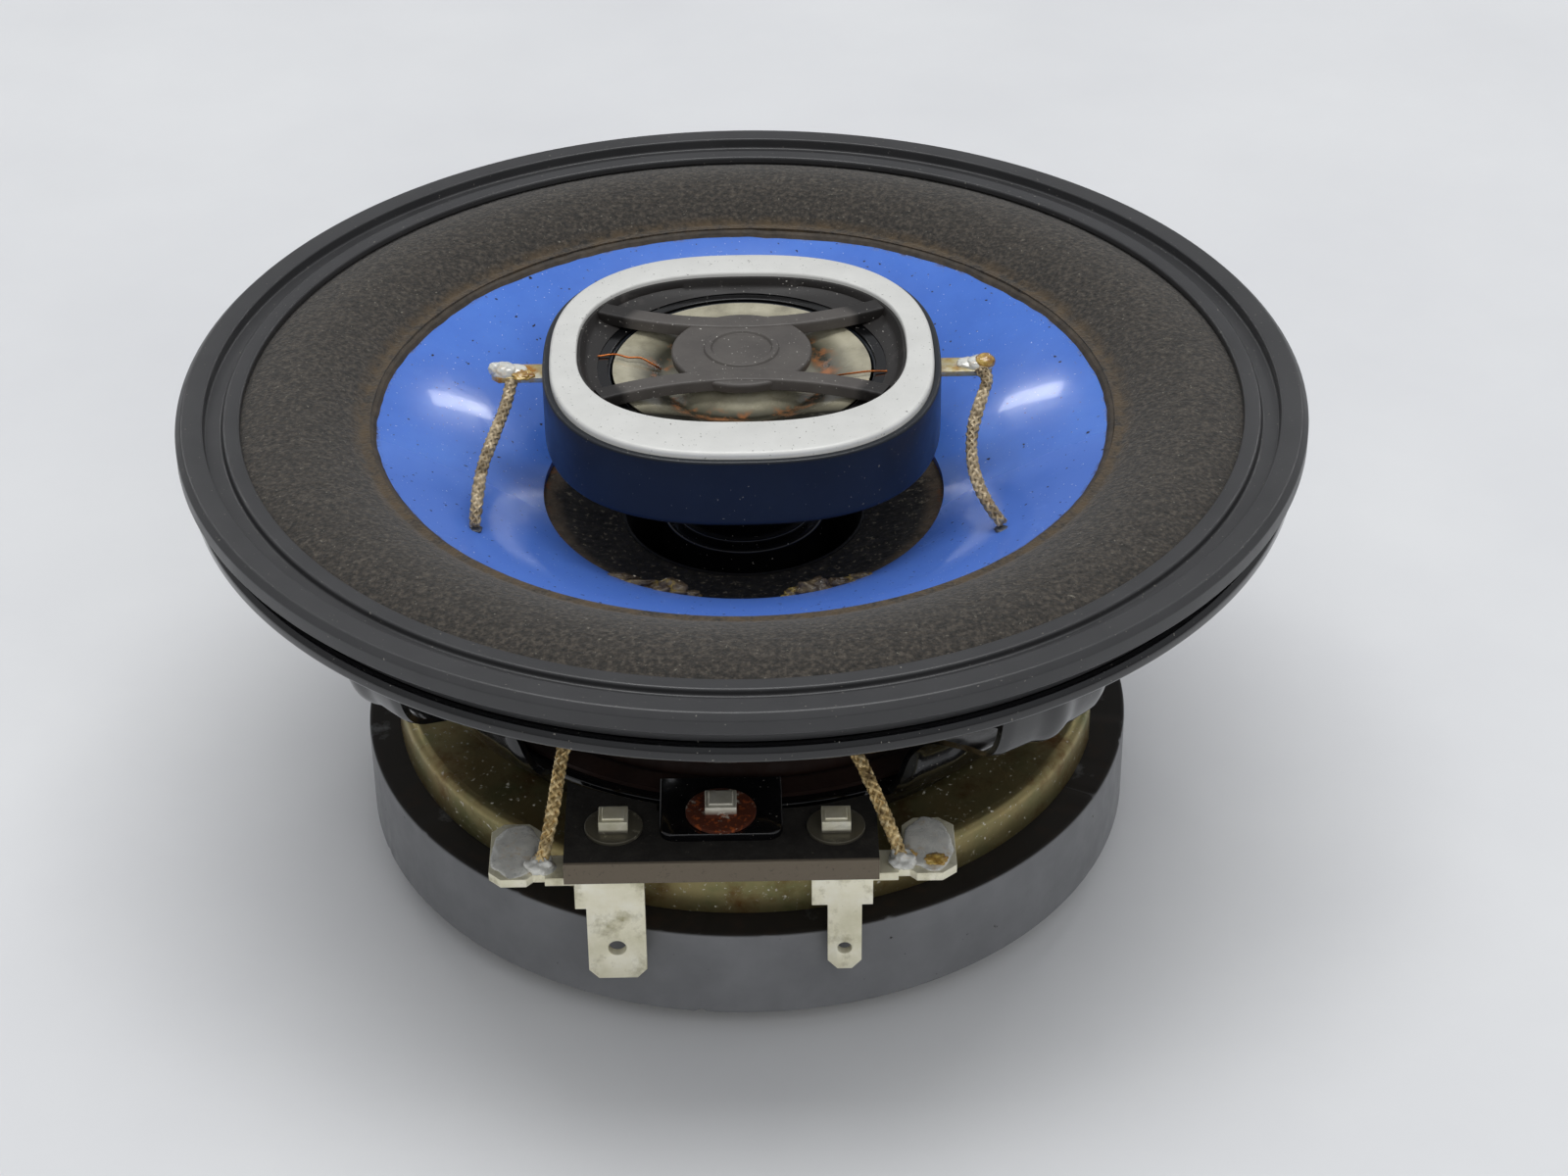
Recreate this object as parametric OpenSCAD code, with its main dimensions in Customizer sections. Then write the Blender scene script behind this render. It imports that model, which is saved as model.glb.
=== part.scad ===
// Coaxial car speaker, 10 cm class: moving blue cone on a pressed steel
// basket, ring magnet behind it and a small tweeter on a post in the middle.
// Millimetres. +Z is the way the cone fires, the solder terminals face -Y,
// and the origin is on the axis at the back face.

/* [Show] */
// Sub-part to draw, or all of them

/* [Rim] */
// Outside diameter of the plastic trim ring
rim_d = 96; // [90:0.5:104]
// Height of the trim ring's top face above the back face
rim_top = 44.3; // [42:0.1:48]
// Height of the visible side band of the trim ring
rim_band = 1.85; // [1.2:0.05:2.5]
// Diameter of the outer band's inner edge
groove_outer_d = 91.3; // [89:0.1:93]
// Diameter of the thin inner ridge, outside
ridge_outer_d = 88.2; // [86:0.1:90]
// Diameter of the thin inner ridge, inside
ridge_inner_d = 85.2; // [83:0.1:87]
// Outside diameter of the basket's rolled flange
flange_d = 94.4; // [90:0.1:100]

/* [Motor] */
// Magnet outside diameter
magnet_d = 68.2; // [60:0.1:75]
// Magnet bore
magnet_bore = 32; // [30:0.5:36]
// Magnet thickness
magnet_h = 8.6; // [6:0.1:12]
// Front plate diameter
plate_d = 62.6; // [54:0.1:66]
// Front plate thickness
plate_h = 4; // [3:0.1:5]
// Distance from the axis to the tooling flat on the front plate
plate_flat = 30.3; // [29:0.1:31.2]
// Back plate diameter
back_d = 57; // [48:0.5:60]
// Back plate thickness
back_h = 3; // [2.5:0.1:5]
// Pole piece diameter
pole_d = 19.8; // [18:0.1:20]
// Front plate bore, the outside of the magnetic gap
gap_d = 23; // [22.8:0.1:24]

/* [Cone] */
// Visible outside diameter of the blue cone
cone_d = 62.8; // [60:0.1:66]
// Height of the cone's visible edge
cone_edge_z = 41.5; // [40:0.1:43]
// Outside diameter of the fibre collar at the cone's neck
collar_d = 34.8; // [32:0.1:38]
// Height of the cone at the collar
collar_z = 33.8; // [32:0.1:36]
// How far the cone's flare stands proud of a straight line
cone_flare = 0.6; // [0:0.1:1.2]
// Cone material thickness
cone_t = 0.6; // [0.4:0.05:1]
// Inside diameter of the voice coil former
former_d = 20.7; // [20.6:0.05:21]
// Height of the surround's arch above a straight line
surround_arch = 1.3; // [0.5:0.1:2.5]

/* [Basket] */
// Turn of the four basket legs about the axis
leg_turn = -7; // [-10:0.5:10]
// Sideways offset of the terminal land from the centre line
land_x = -2.3; // [-4:0.1:0]
// Sheet thickness of the pressed basket
sheet = 0.8; // [0.6:0.05:1.2]
// Spider ledge height
ledge_z = 19.9; // [18:0.1:22]

/* [Terminals] */
// Board width
board_w = 25.6; // [22:0.1:30]
// Board thickness
board_h = 2; // [1.5:0.1:2.5]
// Height of the board's top face
board_z = 20.3; // [19:0.1:21]
// Distance from the axis to the board's front edge
board_y = 35.3; // [34:0.1:37]
// Width of the large tab
tab_large = 4.8; // [4.8:0.1:6.3]
// Width of the small tab
tab_small = 2.8; // [2.8:0.1:4.8]
// Tab metal thickness
tab_t = 0.8; // [0.5:0.1:0.8]

/* [Tweeter] */
// Height of the bezel's face
bezel_top = 47.6; // [46:0.1:49]
// Half width of the bezel
bezel_a = 16.3; // [15:0.1:18]
// Half depth of the bezel
bezel_b = 16.7; // [15:0.1:18]
// Half width of the bezel's opening
mouth_a = 14; // [12:0.1:15]
// Half depth of the bezel's opening
mouth_b = 12.5; // [11:0.1:14]
// Offset of the opening towards the back
mouth_y = 0.8; // [0:0.1:1.5]
// Squareness of the rounded outline
square_n = 2.5; // [2:0.05:4]
// Height of the housing's underside
house_z = 40.7; // [39:0.1:42]

/* [Hidden] */
$fn = 96;
e = 0.01;
rim_r = rim_d / 2;
flange_r = flange_d / 2;
magnet_z = back_h;
plate_z = magnet_z + magnet_h;
floor_z = plate_z + plate_h;
former_r = former_d / 2;
former_t = 0.25;
cone_r = cone_d / 2;
collar_r = collar_d / 2;
leads_r = 0.55;

steel_black = [0.09, 0.09, 0.10];
zinc_gold = [0.72, 0.62, 0.33];
tinned = [0.80, 0.80, 0.76];
copper = [0.72, 0.40, 0.22];

// ---- helpers ----
// top face of the cone between the collar and the edge
function cone_top(r) = let (t = (r - collar_r) / (cone_r - collar_r))
    collar_z + (cone_edge_z - collar_z) * t + cone_flare * 4 * t * (1 - t);
// top face of the collar, dipping to the coil former
function collar_top(r) = let (t = (r - 11.1) / (collar_r - 11.1))
    31.6 + (collar_z - cone_t - 31.6) * pow(max(t, 0), 1.25);
// top face of the surround between its inner and outer landings
function surround_top(r) = let (a = 32.6, b = 42.7,
    t = min(max((r - a) / (b - a), 0), 1))
    42.05 + 0.95 * t + surround_arch * pow(sin(180 * t), 0.8);
// spider corrugation
function spider_mid(r) = let (t = (r - 11.6) / 13.2)
    20.35 + 0.62 * sin(360 * 5 * t) * min(1, 8 * min(t, 1 - t));
function bez(a, b, c, d, t) = a * pow(1 - t, 3) + 3 * b * t * pow(1 - t, 2)
    + 3 * c * t * t * (1 - t) + d * pow(t, 3);

// closed strip between two height functions, turned about the axis
module turned(lo, hi) { rotate_extrude() polygon(concat(lo, hi)); }
module ring(r0, r1, z0, z1) {
    translate([0, 0, z0]) difference() {
        cylinder(r = r1, h = z1 - z0);
        translate([0, 0, -1]) cylinder(r = r0, h = z1 - z0 + 2);
    }
}
// rounded square outline
module squircle(a, b, n = square_n, steps = 96) {
    polygon([for (i = [0 : steps - 1]) let (w = 360 * i / steps,
        c = cos(w), s = sin(w))
        [a * sign(c) * pow(abs(c), 2 / n), b * sign(s) * pow(abs(s), 2 / n)]]);
}
// round wire along a curve, as one closed skin
module wire(p, r, steps = 16, sides = 12) {
    pts = [for (i = [0 : steps]) bez(p[0], p[1], p[2], p[3], i / steps)];
    ends = [for (i = [0 : steps]) let (v = pts[min(i + 1, steps)] - pts[max(i - 1, 0)])
        v / norm(v)];
    rings = [for (i = [0 : steps]) let (c = cross(ends[i], [0.31, 0.17, 0.93]),
        n = c / norm(c), m = cross(ends[i], n))
        for (k = [0 : sides - 1]) pts[i] + r * (cos(360 * k / sides) * n
            + sin(360 * k / sides) * m)];
    polyhedron(rings, concat(
        [[for (k = [0 : sides - 1]) k]],
        [for (i = [0 : steps - 1], k = [0 : sides - 1]) let (j = (k + 1) % sides)
            [i * sides + k, (i + 1) * sides + k, (i + 1) * sides + j, i * sides + j]],
        [[for (k = [sides - 1 : -1 : 0]) steps * sides + k]]), convexity = 6);
}

// ---- motor ----
module back_plate() color(zinc_gold) rotate_extrude()
    polygon([[pole_d / 2 + 0.02, 0], [back_d / 2 - 0.5, 0], [back_d / 2, 0.5],
        [back_d / 2, back_h], [pole_d / 2 + 0.02, back_h]]);

module pole_piece() color(zinc_gold) difference() {
    rotate_extrude() polygon([[0, 0], [pole_d / 2, 0],
        [pole_d / 2, floor_z + 0.2], [pole_d / 2 - 0.4, floor_z + 0.6],
        [0, floor_z + 0.6]]);
    translate([0, 0, -1]) cylinder(r = 1.8, h = 30);
    translate([0, 0, -1]) cylinder(r = 4.2, h = 4.2);
}

module magnet() color([0.16, 0.16, 0.17]) rotate_extrude() {
    r0 = magnet_bore / 2; r1 = magnet_d / 2; b = 0.4;
    polygon([[r0, magnet_z], [r1 - b, magnet_z], [r1, magnet_z + b],
        [r1, plate_z - b], [r1 - b, plate_z], [r0, plate_z]]);
}

module front_plate() color(zinc_gold) difference() {
    rotate_extrude() polygon(concat([[gap_d / 2, plate_z],
        [plate_d / 2, plate_z]],
        [for (w = [0 : 15 : 90]) [plate_d / 2 - 1.1 + 1.1 * cos(w),
            floor_z - 0.8 + 0.8 * sin(w)]],
        [[gap_d / 2, floor_z]]));
    translate([plate_flat, -20, plate_z - 1]) cube([10, 40, plate_h + 2]);
    for (k = [0 : 3]) rotate([0, 0, leg_turn + 90 * k])
        translate([18.5, 0, plate_z - 1]) cylinder(r = 1.6, h = plate_h + 2, $fn = 48);
}

// ---- pressed steel basket ----
// leg section: a foot on the ledge, a shelf and a steep shoulder to the rim
leg_out = [[27, ledge_z - sheet], [28.6, ledge_z - 0.6], [29.6, 21.5],
    [30.4, 24.6], [32, 26.6], [36, 28], [39, 29.2], [40.3, 31], [40.8, 35],
    [41.2, 41.6]];
leg_in = [[40.35, 41.6], [39.95, 35.1], [39.5, 31.6], [38.6, 30], [35.7, 28.85],
    [31.6, 27.4], [29.65, 25.1], [28.75, 21.8], [28.2, 20.15], [27, ledge_z]];

module leg_plan(w0, w1, w2) {
    polygon([[26.2, -w0], [33, -w1], [43, -w2], [43, w2], [33, w1], [26.2, w0]]);
}

module basket() color(steel_black) {
    difference() {
        union() {
            ring(12.6, 25.4, floor_z, floor_z + sheet);
            ring(25.4 - sheet, 25.4, floor_z, ledge_z);
            ring(25.4 - sheet, 27.4, ledge_z - sheet, ledge_z);
            // collar wall, shelf, step and rolled rim
            rotate_extrude() polygon([[40.4, 37.6], [41.2, 37.6], [41.2, 41.6],
                [44.4, 41.6], [44.4, 39.8], [45.9, 39.8], [46.2, 39.05],
                [flange_r - 0.4, 39.05], [flange_r, 39.45],
                [flange_r, 40.2], [flange_r - 0.4, 40.6], [45.2, 40.6],
                [45.2, 42.4], [40.4, 42.4]]);
            for (k = [0 : 3]) rotate([0, 0, leg_turn + 45 + 90 * k]) {
                intersection() {
                    turned(leg_out, leg_in);
                    linear_extrude(60) leg_plan(7.5, 5.6, 5.8);
                }
                // stamped stiffening rib
                intersection() {
                    translate([0, 0, 0]) rotate_extrude() polygon(concat(
                        [for (q = leg_out) if (q[1] > 21 && q[1] < 38) q + [0.3, -0.4]],
                        [for (q = leg_in) if (q[1] > 21 && q[1] < 38) q]));
                    linear_extrude(60) leg_plan(3, 2.2, 1.6);
                }
            }
            // terminal land: a tongue stepped up from the ledge
            translate([land_x - 5.05, -28.1, ledge_z - sheet])
                cube([10.1, 1.5, board_z - ledge_z + 2 * sheet]);
            translate([land_x, 0, board_z]) linear_extrude(sheet) difference() {
                union() {
                    translate([-5.05, -31.6]) square([10.1, 5]);
                    translate([-4.05, -32.6]) square([8.1, 5]);
                    for (s = [-1, 1]) translate([s * 4.05, -31.6]) circle(r = 1);
                }
                translate([0, -29.8]) circle(r = 1.25);
            }
        }
        for (k = [0 : 3]) rotate([0, 0, leg_turn + 90 * k])
            translate([18.5, 0, floor_z - 1]) cylinder(r = 1.6, h = 3, $fn = 48);
    }
}

// four solid rivets holding the basket on the front plate
module basket_stakes() color([0.45, 0.45, 0.47])
    for (k = [0 : 3]) rotate([0, 0, leg_turn + 90 * k]) translate([18.5, 0, 0]) {
        translate([0, 0, plate_z]) cylinder(r = 1.6, h = plate_h + sheet, $fn = 48);
        translate([0, 0, floor_z + sheet]) cylinder(r1 = 2.6, r2 = 1.9, h = 0.8, $fn = 48);
    }

module trim_ring() color([0.20, 0.20, 0.21]) rotate_extrude() {
    b = 0.25;
    polygon([[ridge_inner_d / 2, 43.3], [ridge_inner_d / 2 + 0.25, 43.02], [45.4, 43.02], [45.4, 40.6], [46.3, 40.6],
        [46.3, rim_top - rim_band], [rim_r - 0.1, rim_top - rim_band],
        [rim_r, rim_top - rim_band + 0.1], [rim_r, rim_top - 0.45],
        [rim_r - 0.45, rim_top],
        [groove_outer_d / 2 + b, rim_top], [groove_outer_d / 2, rim_top - b],
        [groove_outer_d / 2, rim_top - 1], [ridge_outer_d / 2, rim_top - 1],
        [ridge_outer_d / 2, rim_top - 0.4 - b], [ridge_outer_d / 2 - b, rim_top - 0.4],
        [ridge_inner_d / 2 + b, rim_top - 0.4], [ridge_inner_d / 2, rim_top - 0.4 - b]]);
}

// ---- terminals ----
board_l = land_x - board_w / 2;
riv = [[board_l + 4, -30.6], [board_l + 22.2, -31]];

module terminal_board() color([0.12, 0.12, 0.12])
    translate([0, 0, board_z - board_h]) linear_extrude(board_h) difference() {
        translate([board_l, -board_y]) square([board_w, board_y - 23.8]);
        circle(r = 28.5);
        translate([land_x - 5.3, -28.35]) square([10.6, 6]);
        for (q = riv) translate(q) circle(r = 1.15, $fn = 48);
        translate([land_x, -29.8]) circle(r = 1.25, $fn = 48);
    }

// square-headed staked rivet: flange, shank and head
module staked(r, hw, top, bottom) {
    translate([0, 0, top]) cylinder(r = r, h = 0.35, $fn = 48);
    translate([-hw / 2, -hw / 2 + 0.1, top + 0.3]) cube([hw, hw - 0.2, 1.15]);
    translate([-hw / 2 + 0.3, -hw / 2 + 0.4, top + 1.3]) cube([hw - 0.6, hw - 0.8, 0.35]);
    translate([0, 0, bottom - 0.5]) cylinder(r = 2, h = 0.5, $fn = 48);
}

module board_rivet() color([0.66, 0.58, 0.48]) translate([land_x, -29.8, 0]) {
    translate([0, 0, board_z - board_h - 0.2]) cylinder(r = 1.25, h = board_h + sheet + 0.4, $fn = 48);
    staked(2.9, 2.6, board_z + sheet, board_z - board_h);
}

module terminal_rivets() color(tinned) for (q = riv) translate([q[0], q[1], 0]) {
    translate([0, 0, board_z - board_h - tab_t - 0.2]) cylinder(r = 1.15, h = board_h + tab_t + 0.4, $fn = 48);
    staked(2.4, 2.4, board_z, board_z - board_h - tab_t);
}

// bent terminal: blade down the front, foot under the board, solder lug
// outside; s = -1 mirrors the lug to the left
module terminal(s, blade_w, blade_x, shoulder0, shoulder1, tip_z, hole_z, hole_r, q) {
    z1 = board_z - board_h;
    z0 = z1 - tab_t;
    edge = s < 0 ? board_l : board_l + board_w;
    lug = s < 0 ? 6.2 : 6.4;
    difference() {
        union() {
            translate([shoulder0, -board_y + 0.1, z0])
                cube([shoulder1 - shoulder0, 7.2, tab_t]);
            translate([shoulder0, -board_y + 0.1, 15.6])
                cube([shoulder1 - shoulder0, tab_t, z1 - 15.6]);
            translate([0, -board_y + 0.1 + tab_t, 0]) rotate([90, 0, 0])
                linear_extrude(tab_t) polygon([
                    [blade_x - blade_w / 2, 15.8], [blade_x - blade_w / 2, tip_z + 0.9],
                    [blade_x - blade_w / 2 + 0.8, tip_z], [blade_x + blade_w / 2 - 0.8, tip_z],
                    [blade_x + blade_w / 2, tip_z + 0.9], [blade_x + blade_w / 2, 15.8]]);
            // arm, neck and chamfered lug
            translate([0, 0, z0]) linear_extrude(tab_t) {
                translate([min(edge + s * 1.6, shoulder0), -34.5])
                    square([max(edge + s * 1.6, shoulder1) - min(edge + s * 1.6, shoulder0), 3]);
                translate([min(edge, edge + s * 2.6), -34]) square([2.6, 1.8]);
                polygon([for (c = [[2.1, -33.5], [3.1, -34.6], [5.2, -34.6], [lug, -33.6],
                    [lug, -28.3], [5.2, -27.3], [3.1, -27.3], [2.1, -28.3]])
                    [edge + s * c[0], c[1]]]);
            }
        }
        translate([blade_x, -board_y - 2, hole_z]) rotate([-90, 0, 0])
            cylinder(r = hole_r, h = 6, $fn = 48);
        translate([q[0], q[1], z0 - 1]) cylinder(r = 1.15, h = 4, $fn = 48);
    }
}

module positive_terminal() color(tinned)
    terminal(-1, tab_large, -11.0, -14.3, -8.6, 8.2, 11.4, 0.75, riv[0]);
module negative_terminal() color(tinned)
    terminal(1, tab_small, 7.7, 5.0, 10.0, 8.8, 11.0, 0.6, riv[1]);

solder_l = [board_l - 1.9, -33.1, board_z - board_h];
solder_r = [board_l + board_w + 1.9, -33.1, board_z - board_h];
module terminal_solder() color([0.62, 0.55, 0.40])
    for (p = [lead_ll, lead_lr]) let (q = p[3] - [0, 0, 0.5]) difference() {
        translate(q) scale([1, 1, 0.75]) sphere(r = 1.15, $fn = 48);
        translate([q[0] - 3, q[1] - 3, q[2] - 3]) cube([6, 6, 3]);
        rod(p[3], p[2], leads_r + 0.08, 4);
    }

// ---- tweeter ----
module tweeter_post() color([0.06, 0.06, 0.07]) difference() {
    union() {
        rotate_extrude() polygon([[0, floor_z + 0.6], [7.2, floor_z + 0.6], [7.2, 31.4],
            [6.8, 31.8], [5.9, 31.8], [5.9, 34.8], [9.4, 38], [9.4, house_z + 0.6],
            [0, house_z + 0.6]]);
        translate([0, 0, house_z]) linear_extrude(1.2) squircle(15.3, 15.6);
    }
    translate([0, 0, floor_z]) cylinder(r = 1.55, h = 9, $fn = 48);
    translate([0, 0, 25.5]) cylinder(r = 2.7, h = 13.5);
    translate([0, 0, 38.2]) cylinder(r = 8.45, h = 10);
    for (s = [-1, 1]) translate([s * 11.6, 0, house_z - 1]) cylinder(r = 0.9, h = 4, $fn = 32);
}

module tweeter_housing() color([0.07, 0.08, 0.11]) difference() {
    translate([0, 0, house_z]) linear_extrude(47 - house_z) squircle(16.9, 17.2);
    // hollow behind the deck
    translate([0, 0, house_z - 1]) linear_extrude(44.4 - house_z + 1) squircle(15.4, 15.7);
    translate([0, 0, house_z]) cylinder(r = 11.2, h = 10);
    translate([0, 0, 45.7]) cylinder(r = 12.6, h = 5);
    translate([0, mouth_y, 46.2]) linear_extrude(5) squircle(mouth_a, mouth_b);
    // seat for the bezel
    translate([0, 0, 46.6]) linear_extrude(5) squircle(bezel_a + 0.1, bezel_b + 0.1);
    // slots for the two tabs
    for (s = [-1, 1]) translate([s * 14.7 - 3.3, -0.75, 45]) cube([6.6, 2.3, 0.5]);
}

module tweeter_bezel() color([0.82, 0.82, 0.80]) difference() {
    translate([0, 0, 46.6]) linear_extrude(bezel_top - 46.6) squircle(bezel_a, bezel_b);
    translate([0, mouth_y, 46]) linear_extrude(5) squircle(mouth_a, mouth_b);
}

// frame ring that clamps the edge of the dome's film
module tweeter_clamp_ring() color([0.15, 0.15, 0.16]) ring(11.4, 12.5, 45.7, 46.0);

// two bowed bars and the centre disc over the tweeter, one grey moulding
module tweeter_guard() color([0.24, 0.24, 0.25]) {
    arc_r = 26.8;
    difference() {
        union() {
            for (s = [-1, 1]) translate([0, mouth_y, 0]) intersection() {
                translate([0, s * (4.4 + arc_r), 0]) ring(arc_r - 0.8, arc_r + 0.8, 46.22, 47.1);
                translate([-20, s > 0 ? 0 : -12, 46]) cube([40, 12, 2]);
                translate([0, 0, 46]) linear_extrude(2) squircle(mouth_a, mouth_b);
            }
            translate([0, mouth_y, 46.1]) cylinder(r = 6.05, h = 1.1);
            translate([0, mouth_y, 46.1]) cylinder(r = 3.1, h = 1.3);
            // boss facing the dome
            translate([0, 0.4, 45.95]) cylinder(r1 = 2.4, r2 = 3.2, h = 0.6);
            // foot ring lying on the diaphragm's rim
            intersection() {
                ring(12.45, 15, 46.22, 46.5);
                translate([0, mouth_y, 46]) linear_extrude(2) squircle(mouth_a, mouth_b);
            }
            intersection() {
                translate([0, 0, 46.22]) linear_extrude(0.9) difference() {
                    translate([0, mouth_y]) squircle(mouth_a, mouth_b);
                    translate([0, mouth_y]) squircle(mouth_a - 0.7, mouth_b - 0.7);
                }
                translate([-20, -20, 46]) cube([40, 40, 5]);
            }
        }
        translate([0, mouth_y, 47.1]) cylinder(r = 2.6, h = 1);
    }
}

module tweeter_yoke() color([0.55, 0.55, 0.57]) difference() {
    translate([0, 0, 38.2]) cylinder(r = 8.4, h = 6.2);
    translate([0, 0, 39.4]) cylinder(r = 7.4, h = 6);
    translate([0, 0, 37]) cylinder(r = 1.2, h = 4, $fn = 32);
}
module tweeter_magnet() color([0.70, 0.70, 0.72]) ring(1.2, 5.9, 39.4, 42);
module tweeter_top_plate() color([0.55, 0.55, 0.57]) ring(1.2, 6.05, 42, 43.4);

// tab through the housing's side wall; s = -1 is the left one
module tweeter_tab(s) {
    translate([0, -0.75, 45]) linear_extrude(0.5) difference() {
        polygon([for (c = [[12, 0], [20.7, 0], [21.3, 0.6], [21.3, 1.7], [20.7, 2.3],
            [12, 2.3]]) [s * c[0], c[1]]]);
        translate([s * 20, 1.15]) circle(r = 0.5, $fn = 32);
    }
}
module tweeter_tab_left() color([0.78, 0.70, 0.48]) tweeter_tab(-1);
module tweeter_tab_right() color([0.78, 0.70, 0.48]) tweeter_tab(1);

module tweeter_solder() color([0.72, 0.70, 0.66]) for (s = [-1, 1]) difference() {
    translate([s * 20.2, 0.4, 45.5]) scale([1.15, 1, 0.75]) sphere(r = 1.2, $fn = 48);
    translate([s * 20.2 - 3, -3, 42.5]) cube([6, 6, 3]);
}

module tweeter_screw() color([0.66, 0.62, 0.48]) difference() {
    union() {
        translate([0, 0, 0.7]) cylinder(r1 = 2.4, r2 = 3, h = 0.7, $fn = 64);
        translate([0, 0, 1.4]) cylinder(r = 3, h = 1.8, $fn = 64);
        translate([0, 0, 3.1]) cylinder(r = 1.5, h = 20.4, $fn = 48);
        translate([0, 0, 23.5]) cylinder(r1 = 1.5, r2 = 0.6, h = 0.8, $fn = 48);
    }
    for (w = [0, 90]) rotate([0, 0, w]) translate([-1.7, -0.35, 0]) cube([3.4, 0.7, 1.9]);
}

module tweeter_coil_leads() color(copper) {
    wire([[-6.7, 1.2, 45.05], [-8.2, 1.4, 45.9], [-10, 1.9, 46.3], [-12.3, 1.6, 46.12]], 0.1, 8);
    wire([[6.7, -1.2, 45.05], [8.2, -1.6, 45.9], [10, -1.8, 46.3], [12.3, -1.6, 46.12]], 0.1, 8);
}

module crossover_capacitor() color([0.10, 0.13, 0.22])
    translate([0, 0, 25.7]) rotate_extrude() polygon([[0, 0], [2.3, 0], [2.5, 0.25],
        [2.5, 0.9], [2.35, 1.15], [2.5, 1.4], [2.5, 10.8], [2.3, 11], [0, 11]]);
module capacitor_wires() color(tinned) for (s = [-1, 1])
    wire([[s * 1, 0.4, 36.7], [s * 1, 0.4, 37.2], [s * 1.2, 0.4, 37.4], [s * 1.5, 0.4, 37.9]], 0.25, 4);

// ---- moving parts ----
module cone() color([0.22, 0.42, 0.92]) turned(
    [for (i = [0 : 20]) let (r = collar_r + (33.7 - collar_r) * i / 20)
        [r, (r < cone_r ? cone_top(r) : cone_edge_z + 0.02 * (r - cone_r)) - cone_t]],
    [for (i = [20 : -1 : 0]) let (r = collar_r + (33.7 - collar_r) * i / 20)
        [r, r < cone_r ? cone_top(r) : cone_edge_z + 0.02 * (r - cone_r)]]);

// the collar's outer lip is lapped under the cone
lip = [for (r = [17.4, 18.15, 18.9]) [r, cone_top(r) - cone_t - 0.04]];
module cone_collar() color([0.14, 0.13, 0.12]) turned(
    concat([[former_r + former_t, 27.6]], [[former_r + former_t + 0.5, 27.6]],
        [for (i = [0 : 7]) let (r = 11.4 + (17.3 - 11.4) * i / 7)
            [r, collar_top(r) - 0.6]], [for (q = lip) q - [0, 0.6]]),
    concat([for (i = [2 : -1 : 0]) lip[i]],
        [for (i = [7 : -1 : 0]) let (r = 11.1 + (17.3 - 11.1) * i / 7)
            [r, collar_top(r) - 0.02]], [[former_r + former_t, 31.58]]));

module coil_former() color([0.07, 0.07, 0.07])
    ring(former_r, former_r + former_t, 10.7, 31.6);
module voice_coil() color(copper)
    ring(former_r + former_t, former_r + former_t + 0.45, 11.0, 16.6);

// everything below the top faces of the collar and the cone
module under_cone(r1) { rotate_extrude() polygon(concat([[12, 20]],
    [for (i = [0 : 6]) let (r = 12 + 5.3 * i / 6) [r, collar_top(r) + 0.02]],
    [[collar_r - 0.03, collar_top(collar_r)], [collar_r - 0.03, collar_z + 0.03]],
    [for (i = [1 : 14]) let (r = collar_r + (r1 - collar_r) * i / 14)
        [r, cone_top(r) + 0.03]], [[r1, 20]])); }

module lead_glue() color([0.55, 0.46, 0.28]) for (q = [[-6.6, -16.9], [5.8, -17.1]])
    difference() {
        translate([q[0], q[1], cone_top(17.9)]) scale([1.9, 1.1, 0.9]) sphere(r = 1, $fn = 48);
        under_cone(21);
    }

up_l = [-22.2, -15.0]; up_r = [21.2, -16.0];
// round bar from a towards b, used to clear a braid's end
module rod(a, b, r, l) { v = b - a; translate(a) rotate([0, acos(v[2] / norm(v)),
    atan2(v[1], v[0])]) translate([0, 0, -0.6]) cylinder(r = r, h = l, $fn = 32); }
lead_ul = [[-19.6, -1.3, 45], [-20.6, -5.5, 42], [-21.9, -9, 44.5],
    [up_l[0], up_l[1], cone_top(norm(up_l)) + 0.45]];
lead_ur = [[20.2, -1.3, 45.2], [22.6, -3.8, 47], [15.7, -7.9, 43.3],
    [up_r[0], up_r[1], cone_top(norm(up_r)) + 0.45]];
lead_ll = [[-6.9, -17.9, 32.2], [-16.5, -21.2, 28.4], [-14.3, -28.5, 27],
    [solder_l[0], solder_l[1], solder_l[2] + 0.5]];
lead_lr = [[6.1, -18.1, 32.2], [5.9, -22, 25.9], [8, -27, 29.2],
    [solder_r[0], solder_r[1], solder_r[2] + 0.5]];

module lead_anchors() color([0.35, 0.35, 0.38]) for (p = [lead_ul, lead_ur])
    difference() {
        translate(p[3] - [0, 0, 0.1]) sphere(r = 0.95, $fn = 48);
        rod(p[3], p[2], leads_r + 0.08, 4);
        under_cone(31);
    }

module edge_glue() color([0.36, 0.30, 0.22]) rotate_extrude()
    translate([cone_r - 0.15, cone_edge_z + 0.12]) difference() {
        circle(r = 0.42, $fn = 32);
        translate([-2, -1.12]) square([4, 1.0]);
    }

module surround() color([0.22, 0.22, 0.22]) turned(
    concat([for (i = [0 : 24]) let (r = cone_r + 0.4 + (42.7 - cone_r - 0.4) * i / 24)
        [r, r < 34 ? max(surround_top(r) - 0.55, cone_edge_z + 0.05) : surround_top(r) - 0.6]],
        [[45, 42.4], [45, 43]]),
    [for (i = [24 : -1 : 0]) let (r = cone_r + 0.4 + (42.7 - cone_r - 0.4) * i / 24)
        [r, surround_top(r)]]);

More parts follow.
